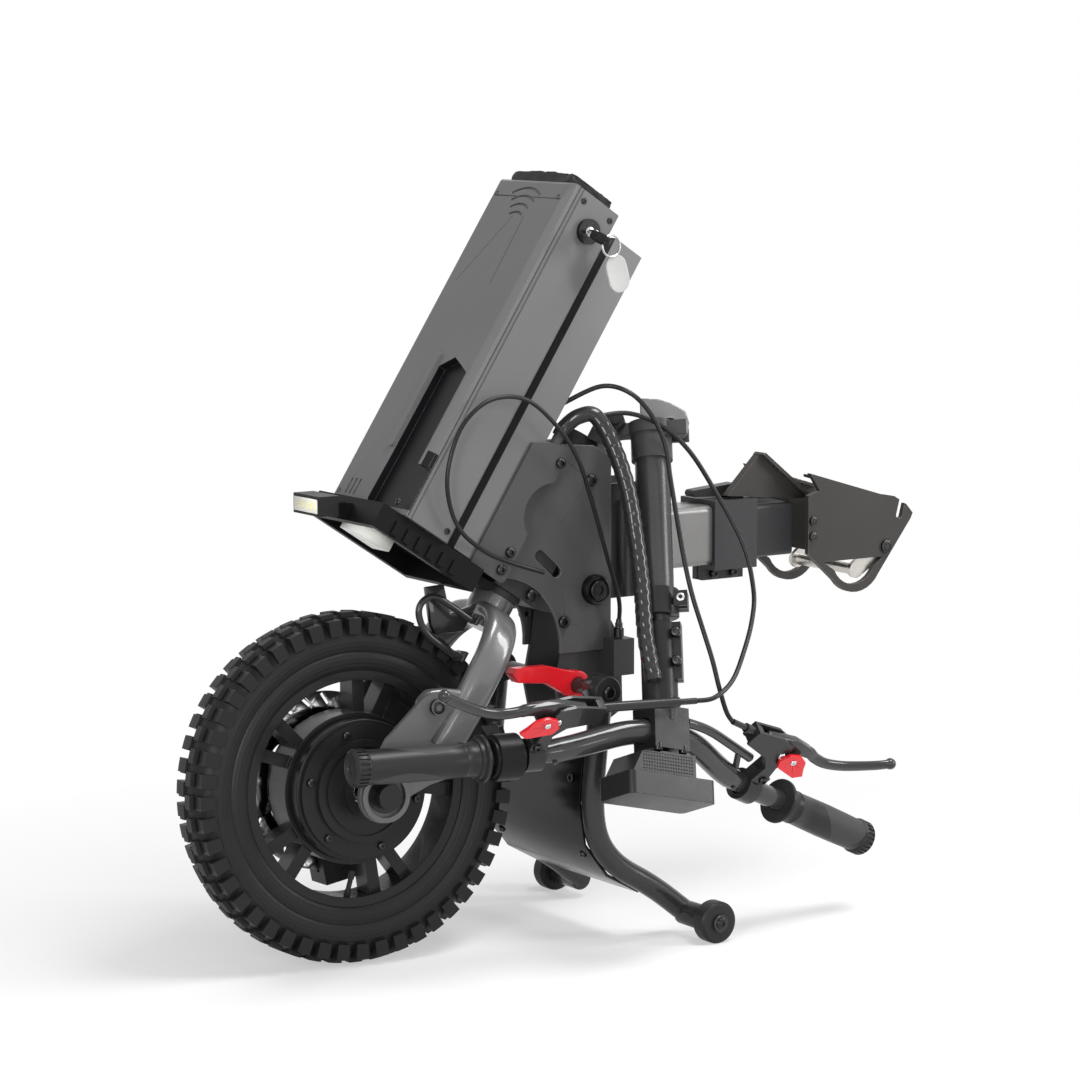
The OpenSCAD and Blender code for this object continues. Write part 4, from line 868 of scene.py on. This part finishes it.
def sweep(line, width, sides, across=None):
    """Tube along a line of points. Its radius is width(distance, angle), the angle counted from across."""
    verts, faces, far = [], [], 0.0
    for i, here in enumerate(line):
        ahead = (line[min(i + 1, len(line) - 1)] - line[max(i - 1, 0)]).normalized()
        across = across or ahead.orthogonal()
        across = (across - ahead * across.dot(ahead)).normalized()
        up = ahead.cross(across)
        if i:
            far += (here - line[i - 1]).length
        for k in range(sides):
            a = math.tau * k / sides
            verts.append(here + (across * math.cos(a) + up * math.sin(a)) * width(far, a))
        if i:
            r = (i - 1) * sides
            for k in range(sides):
                after = (k + 1) % sides
                faces.append((r + k, r + after, r + sides + after, r + sides + k))
    last = (len(line) - 1) * sides
    faces += [tuple(range(sides - 1, -1, -1)), tuple(range(last, last + sides))]
    mesh = bpy.data.meshes.new("tube")
    mesh.from_pydata(verts, [], faces)
    o = bpy.data.objects.new("tube", mesh)
    bpy.context.scene.collection.objects.link(o)
    return o


def span(line):
    """Length of a line of points."""
    return sum((b - a).length for a, b in zip(line, line[1:]))


def cable(name, points, radius, node, width=None, steps=8, sides=14, finish="cords"):
    """Cable on the frame along a route, in place of its solid."""
    line = smooth_route(points, steps)
    o = sweep(line, width or (lambda far, a: radius), sides)
    finish_piece(o, name, UPRIGHT, "frame", FINISHES[finish], 60, instead_of=node)
    placed = [UPRIGHT @ (p * MM) for p in line]
    span(placed)


def wrapped_width(far, a):
    """Spiral band: smooth sleeve at the top, then overlapping turns."""
    sleeve_r, pitch, lift, edge, smooth_top = 8.2, 12.0, 1.1, 0.88, 40
    turn = (far / pitch + a / math.tau) % 1.0
    step = lift * turn if turn < edge else lift * edge * (1 - turn) / (1 - edge)
    fade = min(max((far - smooth_top) / smooth_top, 0), 1)
    return sleeve_r + step * fade


HARNESS = [(-234.5, 42.2, 524.9), (-241, 43.5, 534.5), (-252, 52, 545), (-266, 62, 545), (-278, 76, 515),
           (-285, 92, 471), (-286, 106, 420), (-280, 125, 373), (-271, 144.5, 327), (-267, 164.6, 286)]
NEAR_HOSE = [(-295.4, 199.5, 267.5), (-316, 201, 269), (-344, 193, 282), (-368, 180, 307), (-390, 165, 337),
             (-403, 150, 366), (-404, 130, 411), (-386, 104, 466), (-359, 94, 509), (-331, 82, 535),
             (-300, 66, 547), (-258, 55, 542)]
FAR_HOSE = [(-346, 190.7, 240.2), (-339, 190, 251), (-333, 186, 275), (-330, 178, 303), (-327, 165, 334),
            (-323, 152, 368), (-322, 139, 404), (-325, 122, 445), (-330, 104, 482), (-331, 94, 514),
            (-320, 85, 545), (-303, 70, 568), (-282, 48, 574), (-242, 36, 557)]
SIDE_LOOP = [(-307, 46, 326.3), (-304, 50, 352), (-285, 54, 402), (-264, 60, 454), (-239, 70, 503),
             (-206, 78, 541), (-167, 82, 569), (-125, 82, 571), (-92, 82, 548), (-75, 82, 509),
             (-76, 80, 474), (-93, 76, 441), (-131, 66, 415), (-169, 58, 400), (-206, 56, 388)]
cable("harness_sleeve", HARNESS, 8.7, "harness", wrapped_width, 24, 24, "wrap")
cable("near_hose", NEAR_HOSE, 2.5, "brake_hoses")
cable("far_hose", FAR_HOSE, 2.5, "brake_hoses")
cable("side_loop", SIDE_LOOP, 2.3, "side_loops")

# Barrel adjuster at the foot of the side cable
adjuster = spun([(0, 0), (4.4, 0), (4.4, 10), (3.6, 11), (5.4, 11.6), (5.4, 20), (4.2, 21), (3.2, 26),
                 (2.9, 30), (2.5, 30), (0, 30)], 20)
finish_piece(adjuster, "cable_adjuster", UPRIGHT @ Matrix.Translation((-0.307, 0.046, 0.300)), "frame",
             FINISHES["plate_screws"])


# Bent tubes with true bends in place of the mitred ones
def filleted(points, reach, steps=7):
    """Points of a line whose corners are rounded, reach back from each corner."""
    p = [Vector(q) for q in points]
    line = [p[0]]
    for a, b, c in zip(p, p[1:], p[2:]):
        back = min(reach, 0.48 * (a - b).length)
        ahead = min(reach, 0.48 * (c - b).length)
        start, end = b + (a - b).normalized() * back, b + (c - b).normalized() * ahead
        for k in range(steps + 1):
            t = k / steps
            line.append(start * (1 - t) ** 2 + b * 2 * t * (1 - t) + end * t ** 2)
    return line + [p[-1]]


def tube(points, radius, reach, sides=28):
    return sweep(filleted(points, reach), lambda far, a: radius, sides)


grip_length = 218
sweep_angle = math.radians(GRIP_SWEEP)
end_out = GRIP_OUT + grip_length * math.cos(sweep_angle)
end_up = GRIP_UP + grip_length * math.sin(sweep_angle)
bar_corners = [(-end_out, 0, end_up), (-GRIP_OUT, 0, GRIP_UP), (-32, 0, 0), (32, 0, 0),
               (GRIP_OUT, 0, GRIP_UP), (end_out, 0, end_up)]
bar_line = filleted(bar_corners, 34, 9)
bar_middle = span(bar_line) / 2
bar_points = []
for a, b in zip(bar_line, bar_line[1:]):
    pieces = max(1, int((b - a).length / 12))
    bar_points += [a.lerp(b, k / pieces) for k in range(pieces)]
bar = sweep(bar_points + [bar_line[-1]], lambda far, a: 12.5 if abs(far - bar_middle) < 128 else 11.1, 32)
branch = tube([(-23.4, 0.6, -16.4), (-55, 0.3, -12), (-124, 0, 14)], 5, 18)
strut = tube([(-106, 0.5, 8), (-112, 0.3, 24), (-116, 0.2, 36)], 3.5, 6)
finish_piece(joined([bar, branch, strut]), "bent_bar", BEND, "mast", FINISHES["handlebar"], 40,
             instead_of="handlebar")

leg_line = [(-250, 267), (-238, 152), (-244, 112), (-268, 82), (-314, 56), (-357, 23)]
stand_parts = []
for y in (-1, 1):
    stand_parts.append(tube([(x, 96 * y, z) for x, z in leg_line], 12, 30))
    hub = spun([(0, -13), (15.2, -13), (16, -12), (16, 12), (15.2, 13), (0, 13)], 40)
    stand_parts.append(put(hub, shift(-250, 96 * y, 267) @ TO_PLUS_Y))
    post = spun([(0, -2), (12, -2), (13, -1), (13, 41.2), (12.2, 42.2), (5, 42.2), (5, 61.8), (8.4, 61.8),
                 (9, 62.4), (9, 64), (8.2, 64.8), (0, 64.8)], 40)
    stand_parts.append(put(post, shift(-357, 96 * y, 22) @ (TO_PLUS_Y if y > 0 else TO_MINUS_Y)))
shaft = spun([(0, -96), (8, -96), (8, 96), (0, 96)], 40)
stand_parts.append(put(shaft, shift(-250, 0, 267) @ TO_PLUS_Y))
finish_piece(joined(stand_parts), "stand_tubes", UPRIGHT, "stand", FINISHES["stand_frame"], 40,
             instead_of="stand_frame")

loop = tube([(28, 37, -31), (84, 40, -29), (93, 40, -50), (72, 39, -68), (28, 36, -71)], 3.5, 16, 18)
fin_outline = [(24, -10), (24, -42), (50, -60), (60, -54), (84, -24), (68, -12), (46, -34)]
fin = softened(cut_plate(fin_outline, 8), 1.0)
put(fin, shift(0, 14, 0))
feet = []
for z, wide, tall in ((-34, 10, 10), (-76, 21, 12)):
    foot = softened(cut_plate([(0, 0), (4, 0), (4, tall), (0, tall)], wide), 0.8)
    feet.append(put(foot, shift(24, 35, z)))
finish_piece(joined([loop, fin] + feet), "cable_guide", STEER, "fork", FINISHES["crown_bracket"],
             40, instead_of="crown_bracket")

# Fork: one bent crown and leg casting with a foot behind each dropout, and its steerer
def oval(wide, tall, power):
    """Radius, by angle, of an oval that turns squarer as power grows."""
    return lambda a: (abs(math.cos(a) / wide) ** power + abs(math.sin(a) / tall) ** power) ** (-1 / power)


half_arch = [(3, 0, -12), (3, 24, -12.5), (3, 43, -18), (4, 58, -33), (5, 67, -56), (6, 70.6, -84),
             (6, 71, -112), (7, 71, -140), (8, 71, -170)]
arch = [(x, -y, z) for x, y, z in reversed(half_arch[1:])] + half_arch
leg_section = oval(18, 9.6, 3.2)
legs = sweep(smooth_route(arch, 8), lambda far, a: leg_section(a), 36, Vector((1, 0, 0)))
fork_parts = [legs]
for way in (shift(0, 63.4, 0), shift(0, -78.6, 0)):
    foot = cut_plate([(22, -103), (40, -111), (55, -121), (59, -134), (53, -150), (40, -165), (22, -182),
                      (-6, -182), (-9, -165), (10, -140)], 15.2)
    fork_parts.append(put(softened(foot, 4.0, 4, 20), way))
steerer = [(0, -26), (17, -26), (21, -18), (23, -6), (23, 9.7), (14.3, 9.7), (14.3, 200), (0, 200)]
fork_parts.append(spun(steerer, 48))
finish_piece(joined(fork_parts), "fork_casting", STEER, "fork", FINISHES["fork"], 40,
             instead_of="fork")

# Brake levers: a forked body with a rounded blade that ends in a ball
blade_section = oval(6.4, 4.6, 2.4)
blade_line = smooth_route([(34, 0, 71.5), (50, 0, 71.5), (62, 0, 68), (80, 0, 67), (101, 0, 72.6),
                           (122, 0, 82.6), (140, 0, 92.6), (151, 0, 100.6), (155.4, 0, 104.8)], 6)
blade_end = span(blade_line)
ball_r = 6.2
ball_back = 5.6


def blade_width(far, a):
    """Blade that thins toward its end and swells to a ball there."""
    rest = blade_end - far
    ball = math.sqrt(max(ball_r ** 2 - (rest - ball_back) ** 2, 0.2)) if rest < 11 else 0
    blade = blade_section(a) * (1 - 0.16 * far / blade_end) if rest > ball_back else 0
    return max(blade, ball)


for side, key in ((1, "left"), (-1, "right")):
    blade = sweep(blade_line, blade_width, 22, Vector((0, 0, 1)))
    body = cut_plate([(-15, 73), (21, 80), (44, 78), (58, 74), (58, 64), (50, 65.5), (42, 64.5), (37, 55),
                      (28, 49.5), (21, 49.3), (15, 48.3), (9, 51), (6.2, 57), (3, 63), (-15, 67)], 9.6)
    put(softened(body, 1.8, 3, 20), shift(0, -4.8, 0))
    pin = put(spun([(0, 4), (2.5, 4), (2.5, 13.6), (0, 13.6)], 20), TO_PLUS_Y)
    finish_piece(joined([blade, body, pin]), "lever_blade_" + key, lever_frame(side), "brake_lever_" + key,
                 FINISHES["levers"], 40, instead_of="brake_lever_" + key)

# Floor, light and background
bpy.ops.object.select_all(action="DESELECT")
bpy.ops.mesh.primitive_circle_add(vertices=96, radius=6.0, fill_type="NGON", location=(0, 0, 0))
floor = bpy.context.object
floor.name = "floor"


def plain_sight(tree):
    """One where the camera, a reflection or clear glass looks at the background."""
    path = tree.nodes.new("ShaderNodeLightPath")
    rays = [Level(tree, path.outputs[k]) for k in ("Is Camera Ray", "Is Glossy Ray", "Is Transmission Ray")]
    return rays[0].by("MAXIMUM", rays[1]).by("MAXIMUM", rays[2])


def light_node(tree, kind, colour, strength=None):
    """Shader of one colour, and of one strength where it gives light."""
    made = tree.nodes.new(kind)
    made.inputs["Color"].default_value = (*colour, 1)
    if strength is not None:
        made.inputs["Strength"].default_value = strength
    return made


def blended(tree, factor, first, second, output):
    """Mixes two shaders by a level and sends the mix to an output node."""
    mix = tree.nodes.new("ShaderNodeMixShader")
    tree.links.new(factor.socket, mix.inputs[0])
    tree.links.new(first.outputs[0], mix.inputs[1])
    tree.links.new(second.outputs[0], mix.inputs[2])
    tree.links.new(mix.outputs[0], tree.nodes.new(output).inputs[0])


WHITE = (1, 1, 1)
pale = bpy.data.materials.new("pale floor")
pale.use_nodes = True
tree = pale.node_tree
tree.nodes.clear()
coord = tree.nodes.new("ShaderNodeTexCoord")
length = tree.nodes.new("ShaderNodeVectorMath")
length.operation = "LENGTH"
tree.links.new(coord.outputs["Object"], length.inputs[0])
# The floor keeps its shadow near the object and fades to plain white farther out
shadow_share, shadow_reach, fade_rate = 0.45, 0.35, 0.9
fade = (Level(tree, length.outputs["Value"]) - shadow_reach) * fade_rate + shadow_share
fade = fade.by("MINIMUM", 1.0).by("MAXIMUM", shadow_share)
matt = light_node(tree, "ShaderNodeBsdfDiffuse", (0.86, 0.86, 0.86))
blended(tree, fade * plain_sight(tree), matt, light_node(tree, "ShaderNodeEmission", WHITE),
        "ShaderNodeOutputMaterial")
floor.data.materials.append(pale)

world = bpy.context.scene.world or bpy.data.worlds.new("studio")
bpy.context.scene.world = world
world.use_nodes = True
tree = world.node_tree
tree.nodes.clear()
blended(tree, plain_sight(tree), light_node(tree, "ShaderNodeBackground", WHITE, 0.30),
        light_node(tree, "ShaderNodeBackground", WHITE, 1.0), "ShaderNodeOutputWorld")


def soft_lamp(name, place, aim, size, power):
    """Rectangular lamp at a place, turned to its aim."""
    data = bpy.data.lights.new(name, "AREA")
    data.shape = "RECTANGLE"
    data.size, data.size_y = size
    data.energy = power
    lamp = bpy.data.objects.new(name, data)
    bpy.context.scene.collection.objects.link(lamp)
    lamp.location = place
    lamp.rotation_euler = (Vector(aim) - Vector(place)).to_track_quat("-Z", "Y").to_euler()


soft_lamp("overhead", (-0.5, 0.7, 2.3), (0, 0, 0.35), (1.3, 0.7), 46)
soft_lamp("front side", (2.1, 1.5, 1.0), (0, 0, 0.35), (0.5, 1.3), 32)
soft_lamp("rear side", (-1.9, 1.5, 1.2), (-0.1, 0, 0.35), (0.5, 1.3), 30)
soft_lamp("low front", (0.6, 2.6, 0.5), (0, 0, 0.25), (1.6, 0.3), 10)
